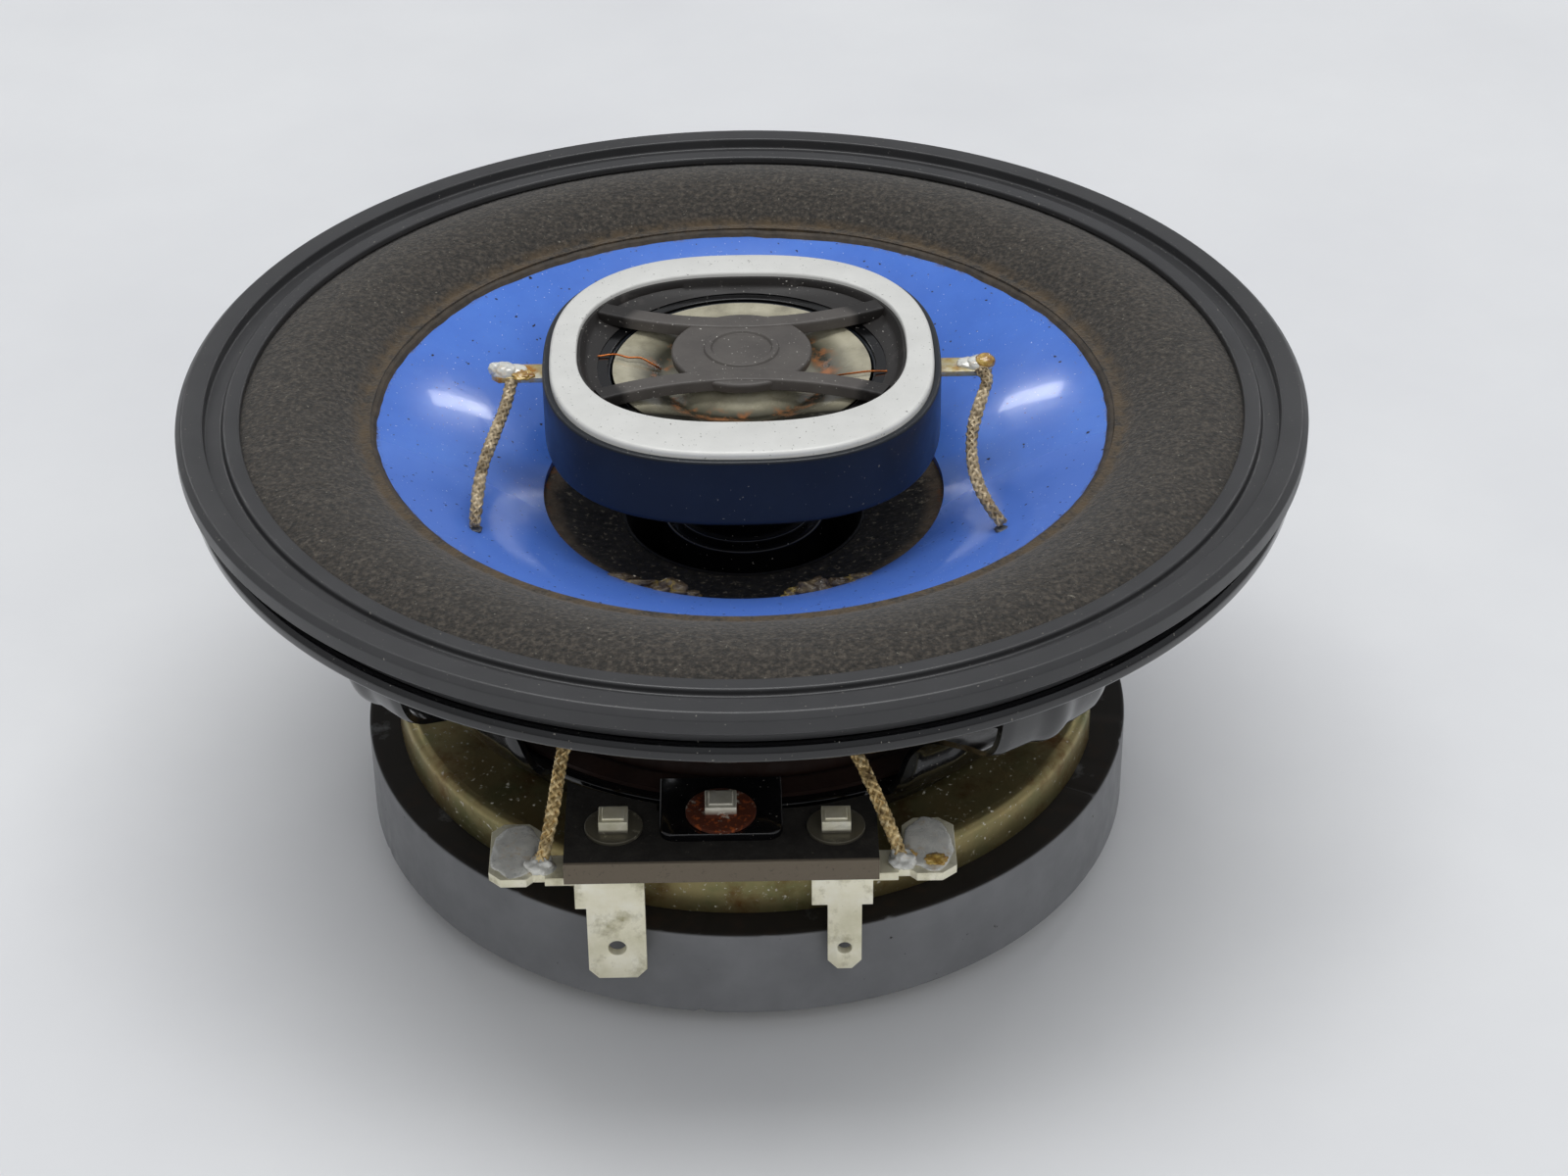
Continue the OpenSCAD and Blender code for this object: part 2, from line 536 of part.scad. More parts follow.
module spider() color([0.24, 0.10, 0.08]) turned(
    concat([[former_r + former_t, 19.3], [former_r + former_t + 0.45, 19.3]],
        [for (i = [0 : 40]) let (r = 11.6 + 13.2 * i / 40) [r, spider_mid(r) - 0.22]],
        [[25.1, ledge_z], [26.5, ledge_z]]),
    concat([[26.5, ledge_z + 0.45], [25.1, ledge_z + 0.45]],
        [for (i = [40 : -1 : 0]) let (r = 11.6 + 13.2 * i / 40) [r, spider_mid(r) + 0.22]],
        [[former_r + former_t, 20.9]]));

module upper_lead_left() color([0.55, 0.50, 0.40]) wire(lead_ul, leads_r, 12);
module upper_lead_right() color([0.55, 0.50, 0.40]) wire(lead_ur, leads_r, 12);
module lower_lead_left() color([0.70, 0.58, 0.36]) wire(lead_ll, leads_r, 14);
module lower_lead_right() color([0.70, 0.58, 0.36]) wire(lead_lr, leads_r, 14);

module tweeter_diaphragm() color([0.75, 0.75, 0.72]) turned(
    concat([for (i = [0 : 8]) [6.4 * i / 8, 44.9 + 0.75 * cos(90 * i / 8) - 0.12]],
        [[6.9, 44.78]],
        [for (i = [1 : 6]) [6.9 + 3.9 * i / 6, 44.78 + 0.92 * sin(90 * i / 6)]],
        [[11.0, 45.7]]),
    concat([[11.0, 45.82]],
        [for (i = [6 : -1 : 1]) [6.9 + 3.9 * i / 6, 44.9 + 0.92 * sin(90 * i / 6)]],
        [[6.9, 44.9], [6.5, 44.98]],
        [for (i = [8 : -1 : 0]) [6.4 * i / 8, 44.98 + 0.75 * cos(90 * i / 8)]]));
module tweeter_coil() color(copper) ring(6.4, 6.9, 41.8, 44.78);

back_plate();
pole_piece();
magnet();
front_plate();
basket();
basket_stakes();
trim_ring();
terminal_board();
board_rivet();
terminal_rivets();
positive_terminal();
negative_terminal();
terminal_solder();
tweeter_post();
tweeter_housing();
tweeter_bezel();
tweeter_guard();
tweeter_clamp_ring();
tweeter_yoke();
tweeter_magnet();
tweeter_top_plate();
tweeter_tab_left();
tweeter_tab_right();
tweeter_solder();
tweeter_screw();
tweeter_coil_leads();
crossover_capacitor();
capacitor_wires();
cone();
cone_collar();
coil_former();
voice_coil();
lead_glue();
lead_anchors();
edge_glue();
surround();
spider();
upper_lead_left();
upper_lead_right();
lower_lead_left();
lower_lead_right();
tweeter_diaphragm();
tweeter_coil();
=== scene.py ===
# %% [markdown]
# # A two-way coaxial car speaker
# A blue plastic cone hangs in a black pressed-steel basket on a black foam surround. A small
# tweeter stands on a post through the middle, and a ferrite ring magnet closes the back.
# The CAD frame fixes every size and joint. Here each visible piece gets a fine mesh and the
# finish of its real material, and rides on the CAD body that it belongs to.

# %% Load the frame
import math
from collections import namedtuple

import bmesh
import bpy
import numpy as np
from mathutils import Matrix, Vector, noise


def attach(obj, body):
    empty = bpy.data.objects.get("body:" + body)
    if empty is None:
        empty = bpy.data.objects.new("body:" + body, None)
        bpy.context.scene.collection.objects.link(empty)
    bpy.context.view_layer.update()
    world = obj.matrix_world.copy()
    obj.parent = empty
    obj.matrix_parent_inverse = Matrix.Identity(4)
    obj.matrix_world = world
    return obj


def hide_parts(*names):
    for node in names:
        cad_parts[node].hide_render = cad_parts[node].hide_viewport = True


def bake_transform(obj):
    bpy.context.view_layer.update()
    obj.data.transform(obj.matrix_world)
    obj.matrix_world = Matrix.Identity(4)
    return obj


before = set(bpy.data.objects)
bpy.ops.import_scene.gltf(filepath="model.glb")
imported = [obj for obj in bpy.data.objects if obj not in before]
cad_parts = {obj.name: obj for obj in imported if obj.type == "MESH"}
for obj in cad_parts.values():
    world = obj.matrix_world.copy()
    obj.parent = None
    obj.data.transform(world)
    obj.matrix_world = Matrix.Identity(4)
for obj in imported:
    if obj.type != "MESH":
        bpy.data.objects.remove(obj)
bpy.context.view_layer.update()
MM = 0.001
scene = bpy.context.scene

# %% [markdown]
# ## Camera
# The speaker lies on its magnet and is seen from the terminal side, from above at about a
# third of a right angle, with a short telephoto. The three angles turn the camera left or
# right, down, and about its own axis.

# %% Camera
CAMERA_MM = (0.0, -251.8, 194.57)
SENSOR_MM, LENS_MM = 36, 78.75
YAW, PITCH, ROLL = (math.radians(a) for a in (0.78, 34.27, -0.48))
ahead = Vector((math.sin(YAW) * math.cos(PITCH), math.cos(YAW) * math.cos(PITCH), -math.sin(PITCH)))
level_side = Vector((math.cos(YAW), -math.sin(YAW), 0))
level_top = level_side.cross(ahead)
side = level_side * math.cos(ROLL) + level_top * math.sin(ROLL)
top = level_top * math.cos(ROLL) - level_side * math.sin(ROLL)
camera = bpy.data.objects.new("camera", bpy.data.cameras.new("camera"))
scene.collection.objects.link(camera)
scene.camera = camera
camera.matrix_world = Matrix.Translation(Vector(CAMERA_MM) * MM) @ Matrix(
    (side, top, -ahead)).transposed().to_4x4()
camera.data.sensor_width, camera.data.lens = SENSOR_MM, LENS_MM
camera.data.clip_start, camera.data.clip_end = 0.01, 20
print("camera looks down", round(math.degrees(PITCH), 1), "degrees through", camera.data.lens, "mm")

# %% [markdown]
# ## Shader helper
# Every finish is built from nodes. One function adds a node: its settings are properties,
# and its inputs are values or the outputs of other nodes. Colours are written as the sRGB
# hex that a paint chart gives, and one function turns them into the linear values that
# shaders use. Textures read Object coordinates in metres, so a pattern that is `n` mm
# across has a scale of `1000 / n`.


# %% Colours and nodes
def linear(code):
    """'#RRGGBB' in sRGB to a linear RGBA tuple."""
    parts = [int(code[i:i + 2], 16) / 255 for i in (1, 3, 5)]
    return (*[c / 12.92 if c <= 0.04045 else ((c + 0.055) / 1.055) ** 2.4 for c in parts], 1.0)


def add(material, kind, inputs=None, ramp=None, **settings):
    """One shader node. ramp is a list of (position, colour) for a ColorRamp."""
    new = material.node_tree.nodes.new("ShaderNode" + kind)
    for key, value in settings.items():
        setattr(new, key, value)
    if ramp:
        stops = new.color_ramp.elements
        while len(stops) < len(ramp):
            stops.new(0.5)
        for stop, (place, colour) in zip(stops, ramp):
            stop.position = place
            stop.color = linear(colour)
    for key, value in (inputs or {}).items():
        if isinstance(value, bpy.types.NodeSocket):
            material.node_tree.links.new(value, new.inputs[key])
        else:
            new.inputs[key].default_value = value
    return new


def per(size_mm):
    """Texture scale for a pattern of this size."""
    return 1 / (size_mm * MM)


print("mid grey #808080 is", round(linear("#808080")[0], 3), "linear")

# %% [markdown]
# ## A general finish
# Most real surfaces are the same recipe with other numbers: a base of two or three close
# colours that drift over a few millimetres, a roughness that drifts too, a grain of bumps,
# and marks on top such as dust, rust or flux. `finish` builds that recipe. A mark is
# limited to a ring or a height range where the real one gathers.


# %% Finish builder
def place_of(material, along):
    """Distance from the speaker's axis ('r') or a coordinate ('x', 'y', 'z'), in metres."""
    where = add(material, "TexCoord").outputs["Object"]
    if along == "r":
        flat = add(material, "VectorMath", {0: where, 1: (1, 1, 0)}, operation="MULTIPLY")
        return add(material, "VectorMath", {0: flat.outputs[0]}, operation="LENGTH").outputs["Value"]
    return add(material, "SeparateXYZ", {0: where}).outputs[along.upper()]


def span(material, along, low, high, soft):
    """1 between low and high in mm, 0 outside, with a soft edge."""
    value = place_of(material, along)
    up = add(material, "MapRange", {0: value, 1: (low - soft) * MM, 2: (low + soft) * MM})
    down = add(material, "MapRange",
               {0: value, 1: (high - soft) * MM, 2: (high + soft) * MM, 3: 1.0, 4: 0.0})
    return add(material, "Math", {0: up.outputs[0], 1: down.outputs[0]}, operation="MULTIPLY").outputs[0]


# A kind of spot on a finish: its size in mm, the share of the surface that it covers, its
# colour and roughness, how soft its edge is, the detail of its noise, whether a metal loses
# its shine under it, and the spans that it is limited to.
Mark = namedtuple("Mark", "size amount colour rough soft detail bare span",
                  defaults=(0.03, 5.0, True, ()))
COLOURS_FROM, COLOURS_RUN = 0.33, 0.34  # noise seldom leaves the range from 0.33 to 0.67
SPOT_TOP, SPOT_RUN = 0.78, 0.5  # a spot shows where its noise is over 0.78 - 0.5 * amount


def finish(name, colours, drift, rough, bumps=(), marks=(), **shader):
    """A finish: colours drift over `drift` mm, and roughness runs between two values.
    bumps: (size mm, depth mm). shader: values that are the same all over the surface."""
    material = bpy.data.materials.new(name)
    material.use_nodes = True
    tree = material.node_tree
    skin = tree.nodes["Principled BSDF"]
    where = add(material, "TexCoord").outputs["Object"]
    cloud = add(material, "TexNoise",
                {"Vector": where, "Scale": per(drift), "Detail": 6.0, "Roughness": 0.6})
    steps = [COLOURS_FROM + COLOURS_RUN * i / max(1, len(colours) - 1) for i in range(len(colours))]
    tint = add(material, "ValToRGB", {0: cloud.outputs["Fac"]}, ramp=list(zip(steps, colours))).outputs[0]
    fine = add(material, "TexNoise", {"Vector": where, "Scale": per(drift * 0.37), "Detail": 4.0})
    gloss = add(material, "MapRange",
                {0: fine.outputs["Fac"], 1: 0.3, 2: 0.7, 3: rough[0], 4: rough[1]}).outputs[0]
    metal = None
    for mark in marks:
        spots = add(material, "TexNoise", {"Vector": where, "Scale": per(mark.size),
                                           "Detail": mark.detail, "Roughness": 0.65})
        edge = SPOT_TOP - SPOT_RUN * mark.amount
        mask = add(material, "MapRange", {0: spots.outputs["Fac"], 1: edge - mark.soft,
                                          2: edge + mark.soft}).outputs[0]
        for limit in mark.span:
            mask = add(material, "Math", {0: mask, 1: span(material, *limit)},
                       operation="MULTIPLY").outputs[0]
        tint = add(material, "Mix", {0: mask, 6: tint, 7: linear(mark.colour)}, data_type="RGBA").outputs[2]
        gloss = add(material, "Mix", {0: mask, 2: gloss, 3: mark.rough}).outputs[0]
        if shader.get("Metallic", 0) > 0 and mark.bare:
            clean = add(material, "Math", {0: 1.0, 1: mask}, operation="SUBTRACT").outputs[0]
            metal = add(material, "Math", {0: shader["Metallic"] if metal is None else metal, 1: clean},
                        operation="MULTIPLY").outputs[0]
    normal = None
    for size, depth in bumps:
        grain = add(material, "TexNoise", {"Vector": where, "Scale": per(size), "Detail": 3.0})
        push = {"Height": grain.outputs["Fac"], "Distance": depth * MM, "Strength": 1.0}
        if normal:
            push["Normal"] = normal
        normal = add(material, "Bump", push).outputs[0]
    for key, value in shader.items():
        skin.inputs[key].default_value = value
    tree.links.new(tint, skin.inputs["Base Color"])
    tree.links.new(gloss, skin.inputs["Roughness"])
    if metal is not None:
        tree.links.new(metal, skin.inputs["Metallic"])
    if normal:
        tree.links.new(normal, skin.inputs["Normal"])
    return material


print("finish() is ready")

# %% [markdown]
# ## Metals
# The motor's steel is zinc plated and passivated yellow, which after years has gone to an
# uneven olive gold with white bloom. The terminals are brass dipped in tin, pale and
# stained. A metal keeps the default IOR, and its colour is its reflection.

# %% Metals
zinc = finish("yellow_passivated_zinc_plate", ["#98875A", "#A5946A", "#AE9F78"], 9.0, (0.30, 0.42),
              bumps=[(2.5, 0.012), (0.3, 0.006)], Metallic=0.85, marks=[
                  Mark(9.0, 0.50, "#6C7045", 0.42, 0.16, bare=False),
                  Mark(0.45, 0.25, "#D4D1C4", 0.85, 0.03),
                  Mark(4.0, 0.34, "#70502A", 0.5, 0.10, bare=False)])
tin = finish("tinned_brass", ["#E0DBBE", "#EFEAD2", "#F6F3E2"], 3.4, (0.40, 0.58),
             bumps=[(0.9, 0.03), (0.15, 0.006)], Metallic=0.55, marks=[
                 Mark(2.4, 0.28, "#A9A27E", 0.6, 0.12, bare=False),
                 Mark(0.4, 0.13, "#6E6748", 0.7, 0.03)])
staked_tin = finish("tinned_brass_staked_over", ["#E0DBBE", "#EFEAD2", "#F6F3E2"], 2.0, (0.28, 0.45),
                    bumps=[(0.7, 0.05)], Metallic=0.6, marks=[
                        Mark(2.0, 0.99, "#6B675A", 0.3, 0.1, bare=False,
                             span=[("z", 19.0, 20.9, 0.12)])])
fluxed_tin = finish("tinned_brass_under_flux", ["#B79A52", "#CDBF93", "#DAD5C2"], 1.3, (0.3, 0.5),
                    bumps=[(0.6, 0.04)], Metallic=0.7, marks=[
                        Mark(1.6, 0.46, "#9A6A22", 0.25, 0.08)])
steel = finish("bare_pressed_steel", ["#77787A", "#A0A1A2"], 2.0, (0.3, 0.5),
               bumps=[(0.6, 0.01)], Metallic=1.0)
nickel = finish("nickel_plate", ["#A9A9A4", "#C4C4C0"], 2.0, (0.15, 0.3),
                bumps=[(0.8, 0.01)], Metallic=1.0)
copper = finish("enamelled_copper", ["#8F4A24", "#C4743C"], 0.8, (0.25, 0.4), Metallic=1.0)
rusty = finish("rusted_tin_plate", ["#D6D2C0", "#E8E5D6"], 1.2, (0.3, 0.5),
               bumps=[(0.5, 0.06)], Metallic=0.6, marks=[
                   Mark(1.3, 0.80, "#4A2110", 0.9, 0.06, span=[("z", 20.0, 22.1, 0.3)]),
                   Mark(0.5, 0.40, "#8A431C", 0.95, span=[("z", 20.0, 22.0, 0.2)])])
solder = finish("dull_tin_lead_solder", ["#B9B9B4", "#CDCDC7", "#DEDDD5"], 1.6, (0.22, 0.38),
                bumps=[(0.8, 0.02)], Metallic=0.2, marks=[
                    Mark(1.4, 0.22, "#A8874A", 0.4, 0.1)])
burnt_flux = finish("burnt_rosin_flux", ["#7A5222", "#A88642", "#CFB468"], 0.7, (0.1, 0.3),
                    bumps=[(0.4, 0.04)], **{"Coat Weight": 0.6, "Coat Roughness": 0.08})
print("metals:", [m.name for m in (zinc, tin, steel, nickel, copper, rusty, solder)])

# %% [markdown]
# ## Paints and plastics
# The basket is dipped in gloss black stoving paint, which shows soft reflections of the
# room. The trim ring is satin moulded ABS. The post is glossy ABS, the tweeter's shell a
# satin navy black, and the bezel wears a fine silver-white paint. Dust sits on the black
# ones as pale specks a quarter of a millimetre across.

# %% Paints and plastics
DUST = Mark(0.28, 0.03, "#7E7B74", 0.9, 0.02, detail=1.0)
black_paint = finish("gloss_black_stoved_paint", ["#060607", "#0B0B0D"], 5.0, (0.10, 0.2),
                     bumps=[(2.5, 0.03)], marks=[DUST], **{"Coat Weight": 0.4, "Coat Roughness": 0.08})
trim_abs = finish("satin_moulded_abs", ["#2E2E2F", "#353536"], 8.0, (0.33, 0.42),
                  bumps=[(0.25, 0.005)], marks=[DUST])
post_abs = finish("gloss_black_abs", ["#050506", "#0A0A0B"], 4.0, (0.12, 0.25),
                  bumps=[(1.5, 0.01)], marks=[DUST])
shell_abs = finish("navy_black_moulded_abs", ["#10141A", "#161B22"], 6.0, (0.34, 0.42),
                   bumps=[(2.0, 0.01)], marks=[DUST])
guard_abs = finish("matt_grey_abs", ["#45413E", "#504C48"], 3.0, (0.45, 0.6), bumps=[(0.25, 0.008)], marks=[
    # painted shade: the funnel's wall outside r 11.6 mm is painted near black for the shade inside the mouth
    Mark(3.0, 0.99, "#171412", 0.55, 0.1, span=[("r", 11.6, 20.0, 0.4)]),
    Mark(0.22, 0.06, "#B5B2AB", 0.9, 0.02, detail=1.0)])
silver_paint = finish("silver_white_metallic_paint", ["#C8C8C4", "#D0D0CC"], 3.0, (0.42, 0.52),
                      bumps=[(0.12, 0.004)], Metallic=0.1, marks=[
                          Mark(1.1, 0.12, "#8F8F8B", 0.6, 0.03, bare=False),
                          Mark(0.25, 0.07, "#6B6964", 0.8, detail=1.0, bare=False)])
ferrite = finish("ground_barium_ferrite", ["#636466", "#6E6F71"], 5.0, (0.34, 0.44),
                 bumps=[(0.3, 0.008)], marks=[
                     Mark(1.4, 0.13, "#1C1815", 0.85, 0.02),
                     # painted shade: the magnet's top face under the front plate is painted near black
                     Mark(5.0, 0.99, "#17130F", 0.82, 0.1, span=[("z", 11.42, 13.0, 0.08)]),
                     Mark(2.5, 0.25, "#2A2018", 0.9, 0.12, span=[("z", 11.5, 13.0, 0.1)])],
                 **{"IOR": 1.5})
sleeve = finish("shrunk_pvc_sleeve", ["#141B33", "#1D2747"], 3.0, (0.25, 0.4))
film = finish("formed_polymer_film", ["#7F7A69", "#9D9883", "#B0AB96"], 3.5, (0.20, 0.34),
              bumps=[(2.2, 0.05)], marks=[
                  # painted shade: a dark ring over the dome's inner roll, where the dark gap below shows
                  # through the film
                  Mark(3.0, 0.99, "#35342A", 0.25, 0.12, span=[("r", 6.0, 8.7, 1.1)]),
                  # painted shade: the film's front part, between the lower bar and the bezel, is painted
                  # near black
                  Mark(3.0, 0.99, "#191813", 0.25, 0.12, span=[("y", -13.0, -6.6, 0.9)]),
                  Mark(2.0, 0.40, "#9A6238", 0.25, 0.08, span=[("r", 6.2, 8.2, 0.5)])],
              **{"Coat Weight": 0.4, "Coat Roughness": 0.08, "IOR": 1.45})
print("paints and plastics are mixed")

# %% [markdown]
# ## Blue polypropylene
# The cone is injection-moulded polypropylene with blue pigment all through. It is smooth
# and waxy, so it mirrors the two windows in soft streaks, and light goes a little way into
# it. Towards the front it is duller. Fine dust and a few dark specks lie on it, and glue
# has stained it at the rim. At the neck on the front side, a dark line is painted shadow
# of the slit under the collar's edge.

# %% Blue cone
blue_pp = finish("pigmented_blue_polypropylene", ["#3C68BE", "#4471C8", "#4C7AD0"], 14.0, (0.16, 0.24),
                 bumps=[(6.0, 0.05), (0.5, 0.002)], marks=[
                     Mark(9.0, 0.99, "#4069BC", 0.62, 0.1, span=[("y", -34.0, -6.0, 3.0)]),
                     Mark(0.22, 0.03, "#B9C4D8", 0.9, 0.02, detail=1.0),
                     Mark(0.5, 0.075, "#1A1512", 0.9, 0.02, detail=1.0),
                     # painted shadow: a dark line at the neck on the front side, for the slit under the
                     # collar's edge
                     Mark(1.0, 0.90, "#130D09", 0.9, 0.05,
                          span=[("r", 17.2, 17.72, 0.07), ("y", -18.5, -14.2, 0.5)]),
                     Mark(1.4, 0.42, "#3A2C22", 0.9, 0.08, span=[("r", 31.1, 33.0, 0.2)])],
                 **{"IOR": 1.49, "Subsurface Weight": 0.12, "Subsurface Scale": 0.002,
                    "Subsurface Radius": (0.4, 0.6, 1.0), "Coat Weight": 0.25, "Coat Roughness": 0.05})
print(blue_pp.name, "is mixed")

# %% [markdown]
# ## Felt, foam, fibre and glue
# The collar is pressed black paper felt. The surround is open-cell foam with cells about
# 0.3 mm across, darkened by a dope. The terminal board is vulcanised fibre, with fuzzy
# cut edges. The glues are contact cement, and the leads are braided from copper tinsel.

# %% Soft and fibrous finishes
felt = finish("pressed_paper_felt", ["#0F0E0D", "#1D1B19", "#2C2924"], 0.9, (0.85, 1.0),
              bumps=[(0.35, 0.10), (1.4, 0.10)], marks=[
                  Mark(0.45, 0.26, "#6B6457", 1.0, 0.05, detail=2.0),
                  Mark(1.5, 0.72, "#4D4236", 0.95, 0.14, span=[("r", 16.0, 17.6, 0.5)]),
                  Mark(0.7, 0.40, "#5B3A22", 0.9, 0.06, span=[("r", 16.9, 17.6, 0.2)])])
foam = finish("doped_open_cell_foam", ["#1D1C19", "#302C27", "#4A443C"], 0.4, (0.92, 1.0),
              bumps=[(0.28, 0.10), (0.6, 0.04)], marks=[
                  Mark(0.35, 0.15, "#6E6A60", 1.0, 0.03, detail=2.0),
                  Mark(1.6, 0.62, "#4A3D2B", 0.95, 0.13, span=[("r", 31.0, 33.0, 0.5)])],
              **{"Sheen Weight": 0.15, "Sheen Roughness": 0.5})
fibre = finish("vulcanised_fibre_board", ["#1F1D1B", "#2C2A27"], 1.6, (0.7, 0.9),
               bumps=[(0.3, 0.04), (1.2, 0.05)], marks=[
                   Mark(0.4, 0.99, "#6A6154", 1.0, 0.12, span=[("y", -35.6, -35.05, 0.08)]),
                   Mark(0.5, 0.16, "#6A655B", 1.0)])
black_paper = finish("black_cone_paper", ["#0C0C0C", "#141313"], 1.2, (0.85, 1.0), bumps=[(0.5, 0.05)])
kraft = finish("black_kraft_paper", ["#0B0A0A", "#151413"], 2.0, (0.7, 0.9), bumps=[(0.5, 0.03)])
brown_glue = finish("hardened_contact_glue", ["#251C15", "#40352A", "#63563F"], 1.1, (0.35, 0.6),
                    bumps=[(0.5, 0.12)], marks=[Mark(1.4, 0.34, "#8F7A38", 0.5, 0.06),
                                                Mark(0.7, 0.22, "#CFC8B4", 0.8, 0.03)])
edge_glue = finish("thin_brown_edge_glue", ["#2F2A24", "#453C31"], 1.6, (0.6, 0.85), bumps=[(0.5, 0.08)])
grey_glue = finish("hardened_grey_glue", ["#2C2F38", "#454852"], 0.8, (0.3, 0.5), bumps=[(0.4, 0.05)])
tinsel = finish("tinned_copper_tinsel_braid", ["#B79C66", "#DCC18A", "#F2E0B4"], 0.9, (0.3, 0.45),
                Metallic=0.5, marks=[Mark(1.6, 0.34, "#5A4526", 0.7, 0.08)])
old_tinsel = finish("aged_tinsel_braid", ["#7B6E58", "#A5957A", "#CBBB9D"], 0.9, (0.4, 0.6), Metallic=0.4,
                    marks=[Mark(1.4, 0.30, "#6A5236", 0.8, 0.08)])
print("soft finishes are mixed")

# %% [markdown]
# ## Spider cloth
# The spider is cotton dipped in phenolic resin, nearly black here. It has about 1.2 threads
# per millimetre each way. Two sine waves at right angles give the over-and-under of a plain
# weave, coarse enough to show.

# %% Spider cloth
THREAD_MM = 0.8
cloth = finish("phenolic_dipped_cotton", ["#1B0F0B", "#271711"], 3.0, (0.6, 0.8), bumps=[(0.6, 0.02)])
where = add(cloth, "TexCoord").outputs["Object"]
waves = [add(cloth, "TexWave", {"Vector": where, "Scale": per(THREAD_MM) / 20, "Distortion": 0.0},
             bands_direction=way).outputs["Fac"] for way in ("X", "Y")]
woven = add(cloth, "Math", {0: waves[0], 1: waves[1]}, operation="MULTIPLY").outputs[0]
skin = cloth.node_tree.nodes["Principled BSDF"]
raised = add(cloth, "Bump", {"Height": woven, "Distance": 0.15 * MM, "Strength": 1.0,
                             "Normal": skin.inputs["Normal"].links[0].from_socket})
cloth.node_tree.links.new(raised.outputs[0], skin.inputs["Normal"])
print("thread spacing", THREAD_MM, "mm")

# %% [markdown]
# ## Mesh helpers
# Almost everything here is turned, moulded or pressed, so a few makers cover it. `rounded`
# softens the corners of a drawn section, as every real edge is. `turn` spins a section
# round the axis like a lathe. `loft` skins a stack of outlines. `sweep` carries a section
# along a path. `piece` makes the object, gives it its finish and hangs it on its body, and
# `turned` does all of it for a plain lathe part.


# %% Mesh helpers
def rounded(corners, steps=5):
    """A closed outline from (x, y) or (x, y, fillet) corners in mm."""
    outline = []
    for i, corner in enumerate(corners):
        here = Vector(corner[:2])
        back, on = (Vector(corners[j % len(corners)][:2]) - here for j in (i - 1, i + 1))
        if len(corner) < 3 or min(back.length, on.length) < 1e-6:
            outline.append(tuple(here))
            continue
        half = max(back.angle(on) / 2, 0.05)
        reach = min(corner[2] / math.tan(half), 0.48 * back.length, 0.48 * on.length)
        a, b = here + back.normalized() * reach, here + on.normalized() * reach
        for k in range(steps + 1):
            t = k / steps
            outline.append(tuple(a * (1 - t) ** 2 + here * 2 * t * (1 - t) + b * t * t))
    return outline


def loft(rings, closed=False, capped=True):
    """Faces between rings of equal length; closed joins the last ring to the first."""
    count = len(rings[0])
    verts = [tuple(p) for ring in rings for p in ring]
    faces = []
    for i in range(len(rings) if closed else len(rings) - 1):
        a, b = i * count, ((i + 1) % len(rings)) * count
        faces += [(a + k, a + (k + 1) % count, b + (k + 1) % count, b + k) for k in range(count)]
    if capped and not closed:
        faces += [tuple(range(count)), tuple(range(len(verts) - 1, len(verts) - count - 1, -1))]
    return verts, faces


def turn(section, sides=256, centre=(0.0, 0.0)):
    """A closed section of (radius, height) spun about the axis, in mm."""
    angles = [math.tau * k / sides for k in range(sides)]
    return loft([[(centre[0] + r * math.cos(w), centre[1] + r * math.sin(w), z) for w in angles]
                 for r, z in section], closed=True)


def frames_along(path):
    """(point, side, top) along a path, carried without twist."""
    path = [Vector(p) for p in path]
    made, top = [], Vector((0, 0, 1))
    for i, p in enumerate(path):
        ahead = (path[min(i + 1, len(path) - 1)] - path[max(i - 1, 0)]).normalized()
        if abs(ahead.dot(top)) > 0.95 and not made:
            top = Vector((0, 1, 0))
        top = (top - ahead * top.dot(ahead)).normalized()
        made.append((p, ahead.cross(top), top))
    return made


def sweep(path, outline):
    """A section of (side, top) offsets in mm carried along a path."""
    return loft([[p + s * u + t * v for u, v in outline] for p, s, t in frames_along(path)])


def oval(a, b, sides):
    """A small oval section for `sweep`."""
    return [(a * math.cos(math.tau * k / sides), b * math.sin(math.tau * k / sides)) for k in range(sides)]


def join(*parts):
    """Several (verts, faces) as one."""
    verts, faces = [], []
    for v, f in parts:
        faces += [tuple(i + len(verts) for i in face) for face in f]
        verts += [tuple(p) for p in v]
    return verts, faces


def piece(name, made, material, body="chassis", replaces=(), crease=38, ride=True, under=None):
    """An object from (verts, faces) in mm, with smooth shading, finish and body.
    under is a second finish for the faces that look down."""
    mesh = bpy.data.meshes.new(name)
    mesh.from_pydata((np.array(made[0], float) * MM).tolist(), [], made[1])
    work = bmesh.new()
    work.from_mesh(mesh)
    bmesh.ops.remove_doubles(work, verts=work.verts, dist=2e-7)
    bmesh.ops.recalc_face_normals(work, faces=work.faces)
    work.to_mesh(mesh)
    work.free()
    mesh.shade_smooth()
    mesh.set_sharp_from_angle(angle=math.radians(crease))
    mesh.materials.append(material)
    if under:
        mesh.materials.append(under)
        for face in mesh.polygons:
            face.material_index = int(face.normal.z < 0)
    new = bpy.data.objects.new(name, mesh)
    scene.collection.objects.link(new)
    if replaces:
        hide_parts(*replaces)
    if ride:
        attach(new, body)
    return new


def turned(name, corners, material, node, sides=256, steps=5):
    """A lathe part on the chassis: rounded corners, spun, in place of a CAD node."""
    return piece(name, turn(rounded(corners, steps), sides), material, replaces=[node])


print("mesh helpers are ready")

# %% [markdown]
# ## Edges on stamped parts
# The flat stamped and staked parts, such as the tabs, are already right in the CAD frame
# apart from their knife edges. A stamped edge has a tiny radius that catches the light, so
# each one is copied, its flat faces are merged, and a bevel of about a tenth of a
# millimetre is put on it.


